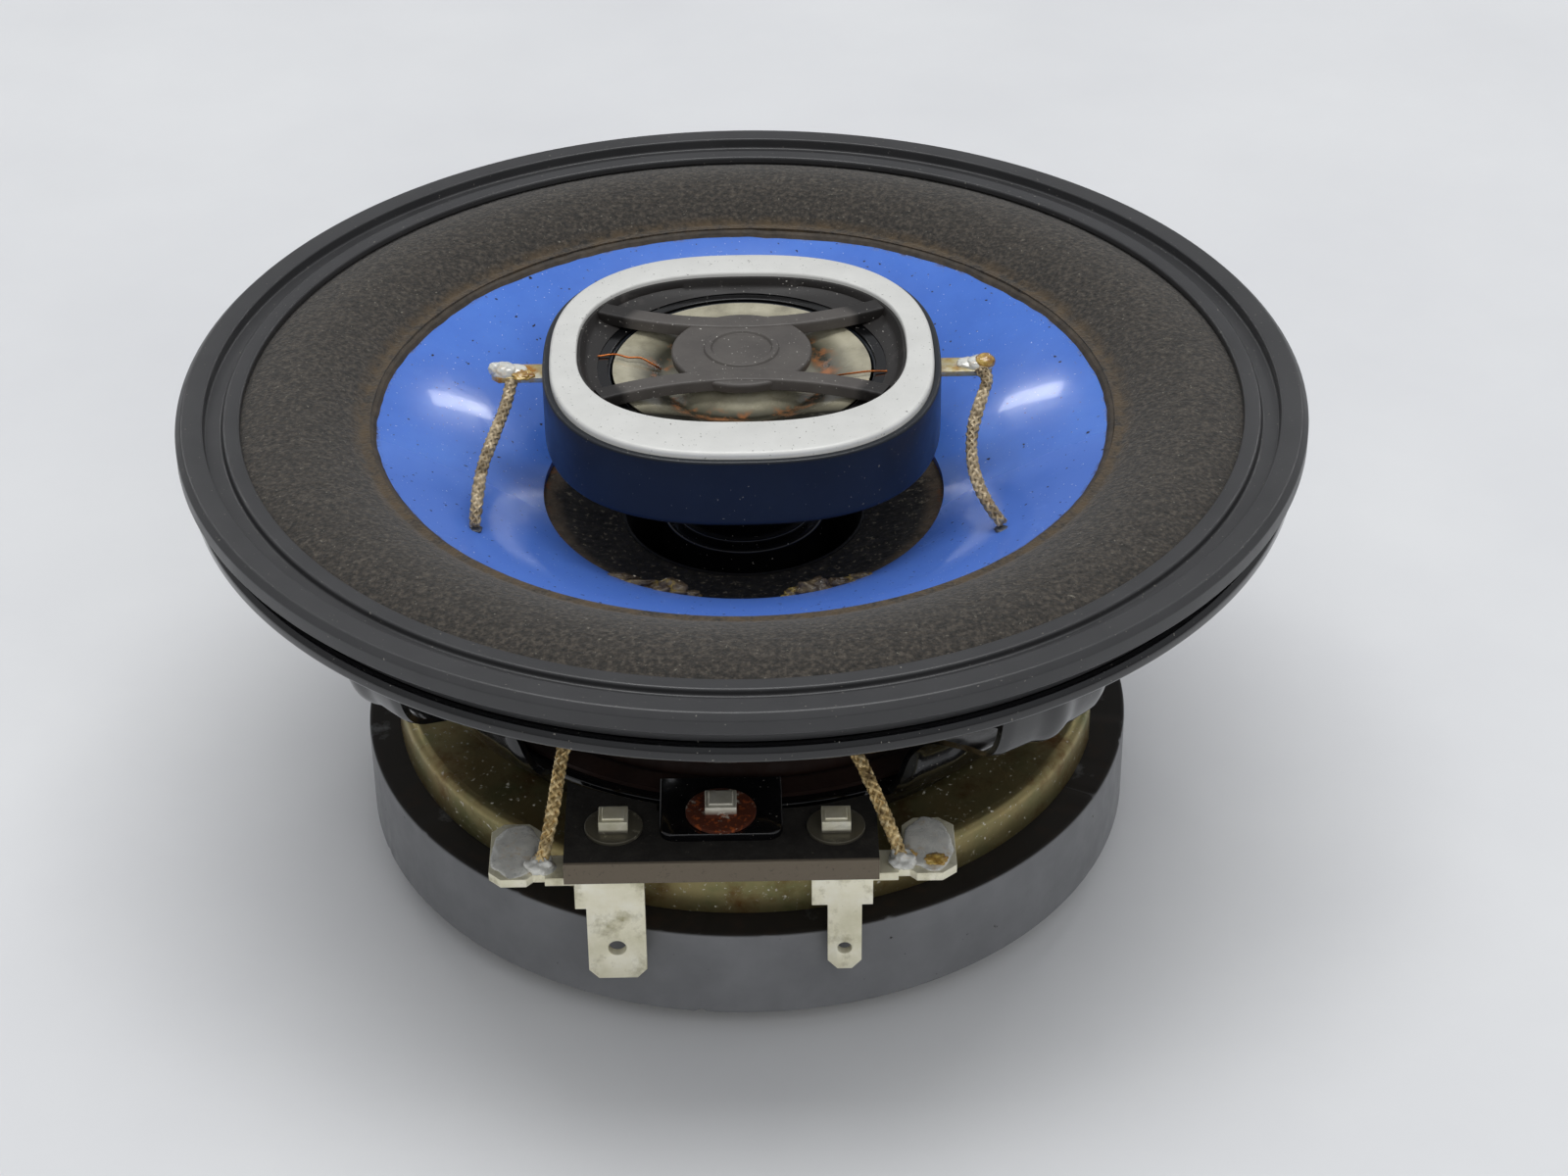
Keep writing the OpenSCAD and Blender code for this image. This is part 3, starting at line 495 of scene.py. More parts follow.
# %% Copy a CAD node with softened edges
def softened(node, name, material, edge):
    """A copy of a CAD node with merged flats and edges rounded to `edge` mm."""
    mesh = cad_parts[node].data.copy()
    work = bmesh.new()
    work.from_mesh(mesh)
    bmesh.ops.remove_doubles(work, verts=work.verts, dist=2e-6)
    bmesh.ops.dissolve_limit(work, angle_limit=math.radians(1.5), verts=work.verts, edges=work.edges)
    bmesh.ops.recalc_face_normals(work, faces=work.faces)
    sharp = [e for e in work.edges
             if len(e.link_faces) == 2 and e.calc_face_angle(0) > math.radians(38)]
    bmesh.ops.bevel(work, geom=sharp, offset=edge * MM, segments=2, profile=0.6,
                    affect="EDGES", clamp_overlap=True)
    work.to_mesh(mesh)
    work.free()
    mesh.shade_smooth()
    mesh.set_sharp_from_angle(angle=math.radians(40))
    mesh.materials.clear()
    mesh.materials.append(material)
    new = bpy.data.objects.new(name, mesh)
    scene.collection.objects.link(new)
    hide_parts(node)
    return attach(new, "chassis")


STAMPED = {  # CAD node: (finish, slot, radius of its edges in mm)
    "terminal_board": (fibre, "fibre_board", 0.15),
    "board_rivet": (rusty, "rusty_steel_rivet", 0.16),
    "terminal_rivets": (staked_tin, "tinned_brass", 0.16),
    "positive_terminal": (tin, "tinned_brass", 0.12),
    "negative_terminal": (tin, "tinned_brass", 0.12),
    "tweeter_tab_left": (fluxed_tin, "tinned_brass", 0.1),
    "tweeter_tab_right": (fluxed_tin, "tinned_brass", 0.1),
    "tweeter_screw": (zinc, "zinc_yellow_steel", 0.12),
    "basket_stakes": (steel, "plain_steel", 0.2),
    "crossover_capacitor": (sleeve, "capacitor_sleeve", 0.1)}
for node, (material, slot, edge_mm) in STAMPED.items():
    name = node.replace("positive", "large_tab").replace("negative", "small_tab") + "_part"
    made = softened(node, name, material, edge_mm)
    print(made.name, len(made.data.polygons), "faces")
wire_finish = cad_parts["capacitor_wires"].data.materials
wire_finish.clear()
wire_finish.append(tin)

# %% [markdown]
# ## Motor
# A steel back plate and its pole, a ring magnet and a front plate are glued in a stack.
# The plates are pressed, so their upper edge is die-rolled. The front plate has one flat
# where it was held. Ferrite is a ceramic, and its edges chip: noise pulls a few points of
# the corner inwards.

# %% Motor
CHIP_FROM_R, CHIP_REACH, MAGNET_LOW, MAGNET_HIGH = 33.3, 0.6, 3.0, 11.6
turned("back_plate_pressing", [(9.92, 0, 0.1), (28.5, 0, 0.5), (28.5, 3, 0.25), (9.92, 3, 0.1)],
       zinc, "back_plate")
turned("pole_turning", [(4.2, 0, 0.2), (9.9, 0, 0.2), (9.9, 16.2, 0.4), (1.8, 16.2, 0.2),
                        (1.8, 3.2, 0.1), (4.2, 3.2, 0.1)],
       zinc, "pole_piece", sides=128)
verts, faces = turn(rounded([(11.5, 11.6, 0.2), (31.3, 11.6, 0.15), (31.3, 14.7), (31.22, 15.1),
                             (31.0, 15.4), (30.7, 15.55), (30.3, 15.6, 0.2), (11.5, 15.6, 0.2)]), 320)
FLAT_AT_X = 30.3
piece("front_plate_pressing", ([(min(x, FLAT_AT_X), y, z) for x, y, z in verts], faces), zinc,
      replaces=["front_plate"])
verts, faces = turn(rounded([(16, 3.0, 0.2), (34.1, 3.0, 0.45), (34.1, 7.3), (34.1, 11.6, 0.45),
                             (16, 11.6, 0.2)], 7), 400)
chipped = []
for x, y, z in verts:
    r = math.hypot(x, y)
    from_edge = min(abs(z - MAGNET_LOW), abs(z - MAGNET_HIGH))
    corner = max(0.0, 1 - from_edge / CHIP_REACH) * (r > CHIP_FROM_R)
    chip = max(0.0, noise.noise(Vector((x, y, z)) * 1.3) - 0.42) * 0.9 * corner
    chipped.append((x * (1 - chip / r), y * (1 - chip / r), z + (chip * 0.5 if z < 7 else -chip * 0.5)))
magnet = piece("ferrite_ring", (chipped, faces), ferrite, replaces=["magnet"], crease=50)
print("magnet", len(magnet.data.vertices), "points")

# %% [markdown]
# ## Basket
# One steel blank is pressed into a floor, a step that carries the spider, four legs and a
# rim with a rolled edge. The turned parts share one section each. A leg is a curved strip
# with a stamped rib down its middle, wide at the foot. The tongue is the land that the
# terminal board is riveted to.

# %% Basket
LEG_OUT = [(26.4, 19.1), (27.4, 19.1), (28.6, 19.5), (29.5, 21.5), (30.4, 24.4), (32.2, 26.5),
           (36, 28.0), (38.8, 29.1), (40.2, 31.2), (40.8, 35), (41.2, 41.4)]
FIRST_LEG_DEGREES = 38
SHEET_MM = 0.8


def smooth_line(points, count):
    """Evenly spaced points on a Catmull-Rom curve through the given ones."""
    pts = [Vector(p) for p in points]
    pts = [pts[0] * 2 - pts[1]] + pts + [pts[-1] * 2 - pts[-2]]
    fine = []
    for i in range(1, len(pts) - 2):
        for k in range(16):
            t = k / 16
            a, b, c, d = pts[i - 1:i + 3]
            fine.append(0.5 * (2 * b + (c - a) * t + (2 * a - 5 * b + 4 * c - d) * t ** 2
                               + (3 * b - a - 3 * c + d) * t ** 3))
    fine.append(pts[-2])
    run = np.concatenate([[0], np.cumsum([(q - p).length for p, q in zip(fine, fine[1:])])])
    return [Vector([np.interp(s, run, [p[j] for p in fine]) for j in range(len(fine[0]))])
            for s in np.linspace(0, run[-1], count)]


def leg(degrees, along=64, across=32):
    """One leg as a closed shell: an outer and an inner sheet joined at their edges."""
    line = smooth_line(LEG_OUT, along)
    rings = []
    for i, p in enumerate(line):
        way = (line[min(i + 1, along - 1)] - line[max(i - 1, 0)]).normalized()
        inward = Vector((-way.y, way.x))
        half = np.interp(p.x, [26.2, 31, 36, 43], [7.5, 5.8, 5.5, 5.8])
        ribbed = min(1.0, max(0.0, (p.y - 21.0) / 2.5)) * min(1.0, max(0.0, (38.2 - p.y) / 2.5))
        ring = []
        for outer in (True, False):
            for k in range(across + 1):
                t = -1 + 2 * k / across
                t = t if outer else -t
                bulge = 0.45 * ribbed * 0.5 * (1 + math.cos(math.pi * min(1, abs(t * half) / 2.1)))
                lip = 0.25 * max(0.0, abs(t) - 0.86) / 0.14
                depth = (0 if outer else SHEET_MM) - bulge + lip * (1 if outer else -0.2)
                r, z = p.x + inward.x * depth, p.y + inward.y * depth
                y = t * half
                ring.append((math.sqrt(max(r * r - y * y, 0)), y, z))
        rings.append(ring)
    verts, faces = loft(rings)
    spin = Matrix.Rotation(math.radians(degrees), 3, "Z")
    return [spin @ Vector(v) for v in verts], faces


def slab(corners, low, high, edge=0.2):
    """A flat plate from an outline with round corners, with softened top and bottom edges."""
    outline = [Vector(p) for p in rounded(corners, 8)]
    middle = sum(outline, Vector((0, 0))) / len(outline)
    size = max((p - middle).length for p in outline)
    rings = []
    for share, z in [(1 - edge / size, low), (1 - 0.3 * edge / size, low + 0.3 * edge), (1, low + edge),
                     (1, high - edge), (1 - 0.3 * edge / size, high - 0.3 * edge), (1 - edge / size, high)]:
        rings.append([(*(middle + (p - middle) * share), z) for p in outline])
    return loft(rings)


floor_and_step = turn(rounded([
    (12.6, 15.6, 0.2), (25.4, 15.6, 0.9), (25.4, 19.1, 0.3), (27.4, 19.1, 0.35),
    (27.4, 19.9, 0.35), (24.6, 19.9, 0.5), (24.6, 16.4, 0.3), (12.6, 16.4, 0.2)]), 320)
rim = turn(rounded([
    (40.4, 37.6, 0.35), (41.2, 37.6, 0.35), (41.2, 41.6, 0.8), (44.4, 41.6, 0.4),
    (44.4, 39.8, 0.6), (45.9, 39.8, 0.3), (46.2, 39.05, 0.3), (46.75, 39.05, 0.35),
    (47.2, 39.45, 0.4), (47.2, 40.2, 0.4), (46.8, 40.6, 0.3), (45.2, 40.6, 0.2),
    (45.2, 42.4, 0.3), (40.4, 42.4, 0.4)], 6), 400)
tongue = slab([(-7.35, -24.9), (2.75, -24.9), (2.75, -32.6, 1.3), (-7.35, -32.6, 1.3)],
              20.35, 21.1, 0.25)
riser = slab([(-7.35, -26.6), (2.75, -26.6), (2.75, -28.1, 0.4), (-7.35, -28.1, 0.4)],
             19.1, 21.05, 0.2)
legs = [leg(FIRST_LEG_DEGREES + 90 * k) for k in range(4)]
basket = piece("pressed_basket", join(floor_and_step, rim, tongue, riser, *legs),
               black_paint, replaces=["basket"])
print("basket", len(basket.data.polygons), "faces")

# %% [markdown]
# ## Trim ring
# A satin ABS moulding snaps over the rim. From outside in it has a flat band with a
# chamfer, a sunken groove and a raised bead that clamps the foam.

# %% Trim ring
trim = turned("trim_ring_moulding", [
    (42.6, 43.3, 0.1), (42.85, 43.02), (45.4, 43.02), (45.4, 40.65, 0.1), (46.3, 40.65, 0.1),
    (46.3, 42.45, 0.1), (47.9, 42.45, 0.2), (48.0, 42.6, 0.1), (48.0, 43.8, 0.25),
    (47.5, 44.3, 0.35), (45.65, 44.3, 0.22), (45.62, 43.3, 0.25), (44.1, 43.3, 0.25),
    (44.1, 43.9, 0.3), (42.6, 43.9, 0.35)],
    trim_abs, "trim_ring", sides=480, steps=7)
print("trim ring", len(trim.data.polygons), "faces")

# %% [markdown]
# ## Cone, collar and coil
# The cone is a thin blue shell with a slight flare. A felt collar is lapped under its
# inner edge and glued to the paper former, which carries the coil of copper wire in the
# magnet's gap. The wire is drawn as 0.35 mm turns so that they show.


# %% Cone and its centre
def cone_top(r):
    """Height of the cone's face at radius r, with a slight flare."""
    t = (r - 17.4) / 14
    return 33.8 + 7.7 * t + 2.4 * t * (1 - t)


def cone_face(r):
    """The cone's face with the flat rim that the foam is glued to."""
    return cone_top(r) if r < 31.4 else 41.5 + 0.02 * (r - 31.4)


def collar_face(r):
    """The collar's face, lapped under the cone beyond its neck."""
    if r < 17.38:
        return 31.6 + 1.6 * max(0.0, (r - 11.1) / 6.3) ** 1.25 - 0.02
    return cone_top(r) - 0.64


def sheet_section(height, thick, radii):
    """A closed section between a height function and the same lowered by a thickness."""
    upper = [(r, height(r)) for r in radii]
    return upper + [(r, z - thick) for r, z in reversed(upper)]


piece("blue_cone", turn(sheet_section(cone_face, 0.6, np.linspace(17.4, 33.7, 70)), 320), blue_pp,
      "cone_assembly", ["cone"], crease=50, under=black_paper)
verts, faces = turn(sheet_section(
    collar_face, 0.6, [*np.linspace(11.1, 17.35, 40), 17.4, 18.0, 18.9]), 360)
rough_felt = [(x, y, z + 0.10 * noise.noise(Vector((x, y, z)) * 1.7) * (math.hypot(x, y) < 17))
              for x, y, z in verts]
sleeve_on_former = turn([(10.62, 27.6), (11.15, 27.6), (11.15, 31.5), (10.62, 31.5)])
piece("felt_collar", join((rough_felt, faces), sleeve_on_former), felt,
      "cone_assembly", ["cone_collar"], crease=60)
piece("coil_former_tube", turn([(10.35, 10.7), (10.6, 10.7), (10.6, 31.6), (10.35, 31.6)], 128),
      kraft, "cone_assembly", ["coil_former"])
WIRE_MM, COIL_LOW, COIL_TURNS = 0.35, 11.0, 16
turns = []
for k in range(COIL_TURNS):
    turns.append([(r, COIL_LOW + rise + WIRE_MM * k) for r, rise in
                  ((10.6, 0), (10.95, 0.02), (11.05, 0.17), (10.95, 0.33), (10.6, 0.35))])
piece("copper_winding", join(*[turn(t, 96) for t in turns]), copper,
      "cone_assembly", ["voice_coil"])
print("cone depth", round(cone_top(31.4) - cone_top(17.4), 2), "mm")

# %% [markdown]
# ## Surround
# Half-roll foam, glued to the cone inside and clamped under the trim ring outside. The
# cells are real dents in a dense mesh. It stretches between the cone and the basket; its
# mesh is built in place and hung on no body.


# %% Surround and spider
def follow_by_radius(obj):
    """Bakes the object's placement into its mesh; the object is hung on no body."""
    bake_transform(obj)


def roll_top(r):
    t = min(max((r - 32.6) / 10.1, 0), 1)
    return 42.05 + 0.95 * t + 1.3 * math.sin(math.pi * t) ** 0.8


radii = [31.8, 32.0, *np.linspace(32.2, 42.7, 64), 43.5, 45.0]
upper = [(r, roll_top(r)) for r in radii]
lower = [(r, max(z - 0.55, 41.56) if r < 34 else z - 0.6) for r, z in upper]
verts, faces = turn(upper + lower[::-1], 720)
cells = []
for x, y, z in verts:
    r = math.hypot(x, y)
    depth = 0.055 * noise.noise(Vector((x, y, z)) * 2.6) + 0.03 * noise.noise(Vector((x, y, z)) * 0.7)
    cells.append((x, y, z + depth * (32 < r < 42.6)))
surround = piece("foam_surround", (cells, faces), foam, replaces=["surround"],
                 crease=80, ride=False)
follow_by_radius(surround)


def spider_mid(r):
    t = (r - 11.6) / 13.2
    return 20.35 + 0.62 * math.sin(math.tau * 5 * t) * min(1, 8 * min(t, 1 - t))


middle = [(10.65, 20.1), (11.2, 20.1), *((r, spider_mid(r)) for r in np.linspace(11.6, 24.8, 90)),
          (25.3, 20.13), (26.5, 20.13)]
CLOTH_HALF_MM = 0.2
section = [(r, z + CLOTH_HALF_MM) for r, z in middle] + [(r, z - CLOTH_HALF_MM) for r, z in middle[::-1]]
spider = piece("woven_spider", turn(section, 256), cloth, replaces=["spider"],
               crease=80, ride=False)
follow_by_radius(spider)
print("surround", len(surround.data.vertices), "points; spider", len(spider.data.vertices))

# %% [markdown]
# ## Glue
# A bead of brown contact glue shows where foam meets cone. It was run on by hand, so its
# width wanders. Two blobs hold the lower leads where they come up through the collar, and
# small beads seal the upper leads where they pass through the cone.


# %% Glue
def blob(centre, radii, seed, lump, floor=None):
    """A lumpy drop: a fine sphere pushed about by noise, and cut flat below `floor` mm."""
    work = bmesh.new()
    bmesh.ops.create_icosphere(work, subdivisions=4, radius=1.0)
    work.verts.index_update()
    verts = []
    for v in work.verts:
        n = (noise.noise(v.co * 1.7 + Vector((seed, 0, 0)))
             + 0.5 * noise.noise(v.co * 4 + Vector((0, seed, 0))))
        p = Vector((v.co[i] * radii[i] * (1 + lump * n) + centre[i] for i in range(3)))
        if floor is not None:
            p.z = max(p.z, floor)
        verts.append(p)
    faces = [tuple(v.index for v in f.verts) for f in work.faces]
    work.free()
    return verts, faces


verts, faces = turn(rounded([(31.1, 41.3), (31.9, 41.5), (31.85, 41.95, 0.2), (31.45, 41.75, 0.2)], 4), 720)
wandering = []
for x, y, z in verts:
    r, w = math.hypot(x, y), math.atan2(y, x)
    shift = 0.16 * noise.noise(Vector((4 * math.cos(w), 4 * math.sin(w), 1))) + 0.08 * noise.noise(
        Vector((19 * math.cos(w), 19 * math.sin(w), 5)))
    wandering.append((x * (r + shift) / r, y * (r + shift) / r, z + 0.4 * shift))
bead = piece("cone_edge_glue", (wandering, faces), edge_glue, "cone_assembly",
             ["edge_glue"], crease=70)
LEAD_HOLES = [(-6.6, -16.9), (5.8, -17.1)]
drops = []
for i, (x, y) in enumerate(LEAD_HOLES):
    outward = -1 if x < 0 else 1
    drops.append(blob((x, y, cone_top(17.9) - 0.05), (1.9, 1.1, 1.05), 3 + 5 * i, 0.55))
    for reach, back, wide, tall in ((2.2, 0.75, 1.7, 0.6), (4.0, 1.9, 1.5, 0.4), (-1.6, -0.15, 1.3, 0.5)):
        spot = (x + outward * reach, y + back)
        drops.append(blob((*spot, cone_top(math.hypot(*spot)) - 0.12), (wide, 0.5, tall),
                          11 * i + reach, 0.5))
piece("lead_exit_glue", join(*drops), brown_glue, "cone_assembly", ["lead_glue"],
      crease=70)
ANCHORS = [(-22.2, -15.0), (21.2, -16.0)]
piece("lead_anchor_beads", join(*[
    blob((x, y, cone_top(math.hypot(x, y)) + 0.02), (0.62, 0.55, 0.22), 20 + x, 0.2)
    for x, y in ANCHORS]), grey_glue, "cone_assembly", ["lead_anchors"], crease=70)
print("glue bead", len(bead.data.vertices), "points")

# %% [markdown]
# ## Tweeter
# The post is one turned-looking moulding with a stem, a waist and a deck. The shell sits
# on the deck, and its outline is a rounded square: a superellipse with exponent 2.5. The
# bezel is let into its top face, and the guard inside is a funnel that runs from the
# rounded square down to the round dome, with two bowed bars and a disc across it.


# %% Outlines
def squircle(a, b, z, y=0.0, power=2.5, steps=240):
    """A rounded square of half width a and half depth b, at height z."""
    ring = []
    for k in range(steps):
        c, s = math.cos(math.tau * k / steps), math.sin(math.tau * k / steps)
        ring.append((math.copysign(a * abs(c) ** (2 / power), c),
                     y + math.copysign(b * abs(s) ** (2 / power), s), z))
    return ring


def squircle_ring(section, a, b):
    """A closed band: section is (outset, height) pairs added to the outline's half sizes."""
    return loft([squircle(a + d, b + d, z) for d, z in section], closed=True)


stem = turn(rounded([
    (1.6, 16.2, 0.1), (7.2, 16.2, 0.3), (7.2, 31.8, 0.5), (5.9, 31.8, 0.3), (5.9, 34.8, 0.6),
    (9.4, 38, 0.4), (9.4, 41.3, 0.2), (8.45, 41.3), (8.45, 38.2), (2.7, 38.2), (2.7, 25.5),
    (1.6, 25.5)], 7), 256)
deck = squircle_ring(rounded([(-6.2, 40.75, 0.2), (-0.3, 40.75, 0.3), (0, 41.9, 0.2),
                              (-6.2, 41.9, 0.2)]), 15.3, 15.6)
piece("tweeter_post_moulding", join(stem, deck), post_abs, replaces=["tweeter_post"])
wall = squircle_ring(rounded([
    (0, 40.7, 0.9), (0, 47.0, 0.35), (-0.55, 47.0, 0.1), (-0.55, 46.6), (-2.6, 46.6),
    (-2.6, 46.25), (-1.5, 44.4), (-1.5, 40.7, 0.2)], 8), 16.9, 17.2)
ledge = turn(rounded([(11.2, 44.4, 0.2), (15.1, 44.4), (15.1, 45.7), (11.2, 45.7, 0.15)]), 192)
piece("tweeter_shell", join(wall, ledge), shell_abs, replaces=["tweeter_housing"])
outer = [(0.0, 46.65), (0.0, 47.3), (-0.06, 47.45), (-0.18, 47.56), (-0.36, 47.6)]
inner = [(0.22, 47.6), (0.10, 47.57), (0.03, 47.5), (0.0, 47.4), (0.0, 46.65)]
band = loft([squircle(16.3 + d, 16.7 + d, z) for d, z in outer]
            + [squircle(14 + d, 12.5 + d, z, 0.8) for d, z in inner], closed=True)
piece("tweeter_bezel_frame", band, silver_paint, replaces=["tweeter_bezel"], crease=30)
print("bezel opening 28 x 25 mm in a 32.6 x 33.4 mm frame")

# %% [markdown]
# ## Guard, dome and motor of the tweeter
# The guard is one grey moulding. The dome is a formed film with a roll round it, and two
# hair-fine copper wires run over the film from its coil. Below are a small magnet, a cup
# and a plate, which show only through the gaps.

# %% Tweeter's inside
MOUTH_Y = 0.8
BAR_R, BAR_SPREAD_DEGREES, BAR_Y, BAR_Z = 26.8, 26.6, 4.4, 46.72


def bar(sign):
    """One bowed bar of the guard, as a swept section that dies into the funnel."""
    centre_y = MOUTH_Y + sign * (BAR_Y + BAR_R)
    path = []
    for w in np.linspace(-BAR_SPREAD_DEGREES, BAR_SPREAD_DEGREES, 49):
        a = math.radians(w)
        path.append((BAR_R * math.sin(a), centre_y - sign * BAR_R * math.cos(a), BAR_Z))
    section = rounded([(-0.95, -0.5, 0.1), (0.95, -0.5, 0.1), (0.85, 0.55, 0.25), (-0.85, 0.55, 0.25)])
    return sweep(path, section)


funnel = loft([squircle(*row) for row in [
    (13.98, 12.48, 46.02, MOUTH_Y), (13.98, 12.48, 47.2, MOUTH_Y), (13.75, 12.25, 47.22, MOUTH_Y),
    (13.65, 12.15, 47.1, MOUTH_Y), (13.4, 12.1, 46.6, MOUTH_Y), (13.1, 12.1, 46.35, 0.65, 2.35),
    (12.55, 12.2, 46.15, 0.2, 2.1), (12.3, 12.3, 46.06, 0.0, 2.0), (12.35, 12.35, 46.02, 0.0, 2.0)]],
    closed=True)
disc = turn(rounded([(0.001, 46.2), (5.9, 46.2, 0.2), (6.05, 47.15, 0.35), (3.25, 47.15, 0.1),
                     (3.12, 47.38, 0.12), (2.65, 47.38, 0.12), (2.5, 47.15, 0.1),
                     (0.001, 47.13)]), 160, (0, MOUTH_Y))
boss = turn(rounded([(0.001, 45.98), (2.3, 45.98, 0.3), (3.1, 46.4, 0.2), (0.001, 46.5)]), 96, (0, 0.4))
piece("tweeter_guard_moulding", join(funnel, bar(1), bar(-1), disc, boss), guard_abs,
      replaces=["tweeter_guard"])
turned("dome_clamp_ring", [(11.4, 45.7, 0.05), (12.5, 45.7, 0.05), (12.5, 46.0, 0.1), (11.4, 46.0, 0.12)],
       post_abs, "tweeter_clamp_ring", sides=192)
turned("tweeter_cup", [(1.2, 38.2, 0.1), (8.4, 38.2, 0.4), (8.4, 44.4, 0.15), (7.4, 44.4, 0.15),
                       (7.4, 39.4, 0.2), (1.2, 39.4, 0.1)],
       steel, "tweeter_yoke", sides=128)
turned("tweeter_magnet_slug", [(1.2, 39.4, 0.1), (5.9, 39.4, 0.2), (5.9, 42, 0.2), (1.2, 42, 0.1)],
       nickel, "tweeter_magnet", sides=128)
turned("tweeter_top_washer", [(1.2, 42, 0.1), (6.05, 42, 0.1), (6.05, 43.4, 0.25), (1.2, 43.4, 0.1)],
       steel, "tweeter_top_plate", sides=128)
hump = [(r, 44.98 + 0.75 * math.cos(math.pi / 2 * r / 6.4)) for r in np.linspace(0.001, 6.4, 24)]
roll = [(6.9 + 4.1 * t, 44.9 + 0.92 * math.sin(math.pi / 2 * t)) for t in np.linspace(0, 1, 20)]
over = hump + [(6.65, 44.93)] + roll
piece("dome_film", turn(over + [(r, z - 0.1) for r, z in over[::-1]], 192), film,
      "tweeter_dome", ["tweeter_diaphragm"], crease=60)
piece("dome_coil", turn([(6.4, 41.8), (6.9, 41.8), (6.9, 44.78), (6.4, 44.78)], 96), copper,
      "tweeter_dome", ["tweeter_coil"])
HAIRS = [[(-6.9, 1.1, 45.05), (-7.6, 1.2, 45.5), (-8.6, 1.5, 45.95), (-9.7, 1.35, 46.12),
          (-10.8, 1.75, 46.2), (-12.3, 1.6, 46.12)],
         [(6.9, -1.2, 45.05), (8.0, -1.5, 45.7), (9.4, -1.8, 46.1), (10.8, -1.7, 46.2),
          (12.3, -1.6, 46.12)]]
hair = piece("dome_lead_wires", join(*[sweep(smooth_line(h, 40), oval(0.08, 0.08, 8)) for h in HAIRS]),
             copper, replaces=["tweeter_coil_leads"], ride=False)
follow_by_radius(hair)
print("tweeter pieces are in")

# %% [markdown]
# ## Solder
# Hand-soldered joints are lumps with soft peaks. On the tweeter tabs the braid is wound
# through the hole and frozen in the lump, and a cut end sticks out.

# %% Solder joints
TERMINAL_JOINTS = [(-17.0, -33.1, 18.3), (12.4, -33.1, 18.3)]
joints = piece("terminal_solder_joints", join(*[
    blob((x, y, z + 0.1), (1.15, 1.0, 0.95), 31 + i, 0.4, floor=z - 0.05)
    for i, (x, y, z) in enumerate(TERMINAL_JOINTS)]),
    solder, replaces=["terminal_solder"], crease=70)
piece("lug_solder_pads", join(blob((-19.2, -31.0, 18.33), (2.0, 3.4, 0.3), 61, 0.15, floor=18.28),
                              blob((14.7, -31.0, 18.33), (2.0, 3.4, 0.42), 64, 0.15, floor=18.28)),
      solder, crease=70)
FLUX = [((15.2, -33.2, 18.62), (0.95, 0.75, 0.3), 70, 0.4),
        ((13.0, -32.6, 18.6), (0.6, 0.5, 0.35), 72, 0.5),
        ((-17.0, -32.3, 18.6), (0.7, 0.5, 0.45), 74, 0.5),
        ((-18.6, -0.35, 45.55), (0.9, 0.7, 0.28), 76, 0.3),
        ((20.7, 0.1, 46.0), (0.9, 0.8, 0.62), 78, 0.12)]
piece("flux_drops", join(*[blob(*drop) for drop in FLUX]), burnt_flux, crease=70)
tab_lumps = []
for s in (-1, 1):
    tab_lumps += [blob((s * 20.3, 0.3, 45.65), (1.2, 0.95, 0.65), 40 + s, 0.14),
                  blob((s * 19.2, 0.5, 45.55), (0.9, 0.8, 0.4), 43 + s, 0.14),
                  blob((s * 21.0, 0.2, 45.9), (0.55, 0.6, 0.6), 47 + s, 0.16)]
tab_joints = piece("tweeter_tab_solder", join(*tab_lumps), solder,
                   replaces=["tweeter_solder"], crease=70)
print("solder joints", len(joints.data.vertices) + len(tab_joints.data.vertices), "points")

# %% [markdown]
# ## Braided leads
# Each lead is a tinsel braid about 1 mm thick: eight bundles, four each way round, that
# pass over and under each other. The strands are real tubes on two opposite helices whose
# radius swings in and out where they cross, over a dark core. The leads are short and held
# at both ends; each one is built in place between the cone and the chassis and hung on no body.


# %% Braids
def bezier(p, count):
    a, b, c, d = (Vector(q) for q in p)
    return [a * (1 - t) ** 3 + b * 3 * t * (1 - t) ** 2 + c * 3 * t * t * (1 - t) + d * t ** 3
            for t in np.linspace(0, 1, count)]


def braid(path, radius, bundles=4, pitch=3.0):
    """Strands on opposite helices round a core, in mm."""
    made = frames_along(path)
    run = np.concatenate([[0], np.cumsum([(b[0] - a[0]).length for a, b in zip(made, made[1:])])])
    parts = [sweep(path, oval(0.62 * radius, 0.62 * radius, 10))]
    for way in (1, -1):
        for b in range(bundles):
            strand = []
            for (p, s, t), d in zip(made, run):
                angle = (way * math.tau * d / pitch + math.tau * b / bundles
                         + (0 if way > 0 else math.pi / bundles))
                weave = way * math.sin(bundles * math.tau * d / pitch)
                r = radius * (0.80 + 0.13 * weave)
                strand.append(p + s * (r * math.cos(angle)) + t * (r * math.sin(angle)))
            parts.append(sweep(strand, oval(0.19, 0.13, 6)))
    return join(*parts)


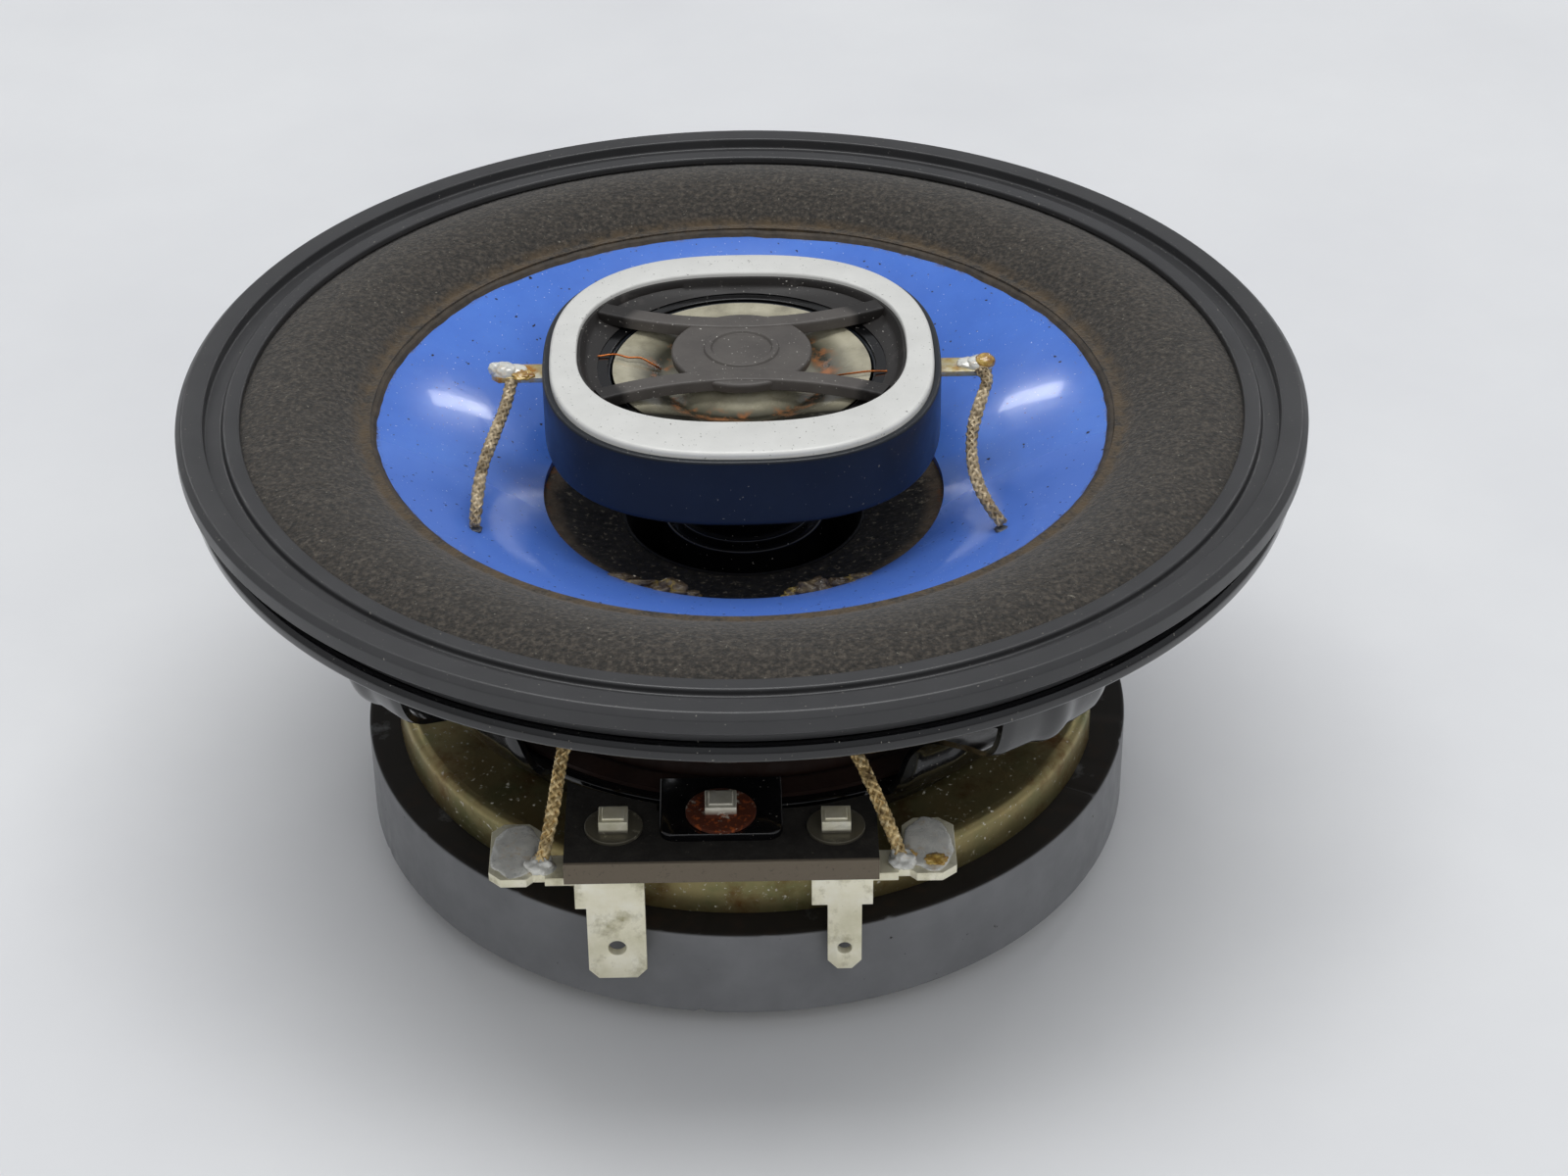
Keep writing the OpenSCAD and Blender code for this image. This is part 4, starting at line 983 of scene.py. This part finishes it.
LEADS = {  # CAD node: (four control points, finish, half the braid's width in mm)
    "upper_lead_left": (
        [(-19.6, -0.6, 45.1), (-20.6, -5.5, 42), (-21.9, -9, 44.5), (-22.2, -15.0, 39.9)], old_tinsel, 0.43),
    "upper_lead_right": (
        [(20.2, -0.6, 45.4), (22.6, -3.8, 47), (15.7, -7.9, 43.3), (21.2, -16.0, 40.0)], old_tinsel, 0.43),
    "lower_lead_left": (
        [(-6.9, -17.9, 32.2), (-16.5, -21.2, 28.4), (-14.3, -28.5, 27), (-17.0, -33.1, 18.8)], tinsel, 0.48),
    "lower_lead_right": (
        [(6.1, -18.1, 32.2), (5.9, -22, 25.9), (8, -27, 29.2), (12.4, -33.1, 18.8)], tinsel, 0.48)}
for node, (route, material, radius) in LEADS.items():
    made = piece(node + "_braid", braid(bezier(route, 170), radius), material,
                 replaces=[node], crease=60, ride=False)
    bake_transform(made)
    line = bezier(route, 60)
    print(made.name, round(sum((b - a).length for a, b in zip(line, line[1:])), 1), "mm long")

# %% [markdown]
# ## Floor and light
# A plain pale floor and a grey room that is lighter overhead. Two small windows behind show
# in the blue cone as a streak on each side. A broad panel above lights the whole object,
# and a large dim one on the camera's side fills its shadows without showing as a highlight.

# %% Floor and lights
floor_paint = finish("pale_matt_floor", ["#D2D3D5", "#D9DADB"], 60.0, (0.45, 0.6), bumps=[(30.0, 0.1)])
stage = bpy.data.meshes.new("floor")
HALF_FLOOR_MM = 1500
stage.from_pydata([(x * HALF_FLOOR_MM * MM, y * HALF_FLOOR_MM * MM, -0.00005) for x, y in
                   ((-1, -1), (1, -1), (1, 1), (-1, 1))], [], [(0, 1, 2, 3)])
stage.materials.append(floor_paint)
floor = bpy.data.objects.new("floor", stage)
scene.collection.objects.link(floor)

world = bpy.data.worlds.new("room")
scene.world = world
world.use_nodes = True
sky = add(world, "TexCoord").outputs["Generated"]
height = add(world, "VectorMath", {0: sky, 1: (0.16, 0.0, 0.95)}, operation="DOT_PRODUCT").outputs["Value"]
shade = add(world, "ValToRGB", {0: height},
            ramp=[(0.0, "#A6A7A9"), (0.35, "#ABACAF"), (0.9, "#C4C7CC")]).outputs[0]
background = world.node_tree.nodes["Background"]
world.node_tree.links.new(shade, background.inputs["Color"])
background.inputs["Strength"].default_value = 0.85


def lamp(name, place, aim, width, height, watts):
    """A soft rectangular light at `place` metres, turned towards `aim`."""
    light = bpy.data.lights.new(name, "AREA")
    light.shape, light.size, light.size_y, light.energy = "RECTANGLE", width, height, watts
    new = bpy.data.objects.new(name, light)
    new.location = place
    new.rotation_euler = (Vector(aim) - Vector(place)).to_track_quat("-Z", "Y").to_euler()
    scene.collection.objects.link(new)
    return new


lamp("window_left", (-0.5, 0.9, 0.67), (-0.02, 0, 0.04), 0.18, 0.07, 0.55)
lamp("window_right", (0.52, 0.88, 0.68), (0.02, 0, 0.04), 0.18, 0.07, 0.55)
lamp("ceiling_panel", (0, 0.02, 1.1), (0, 0, 0.03), 0.9, 0.45, 7.0)
room_fill = lamp("room_fill", (0.25, -1.4, 1.1), (0, 0, 0.02), 1.5, 1.0, 9.5)
room_fill.visible_glossy = False
scene.view_settings.view_transform = "Standard"
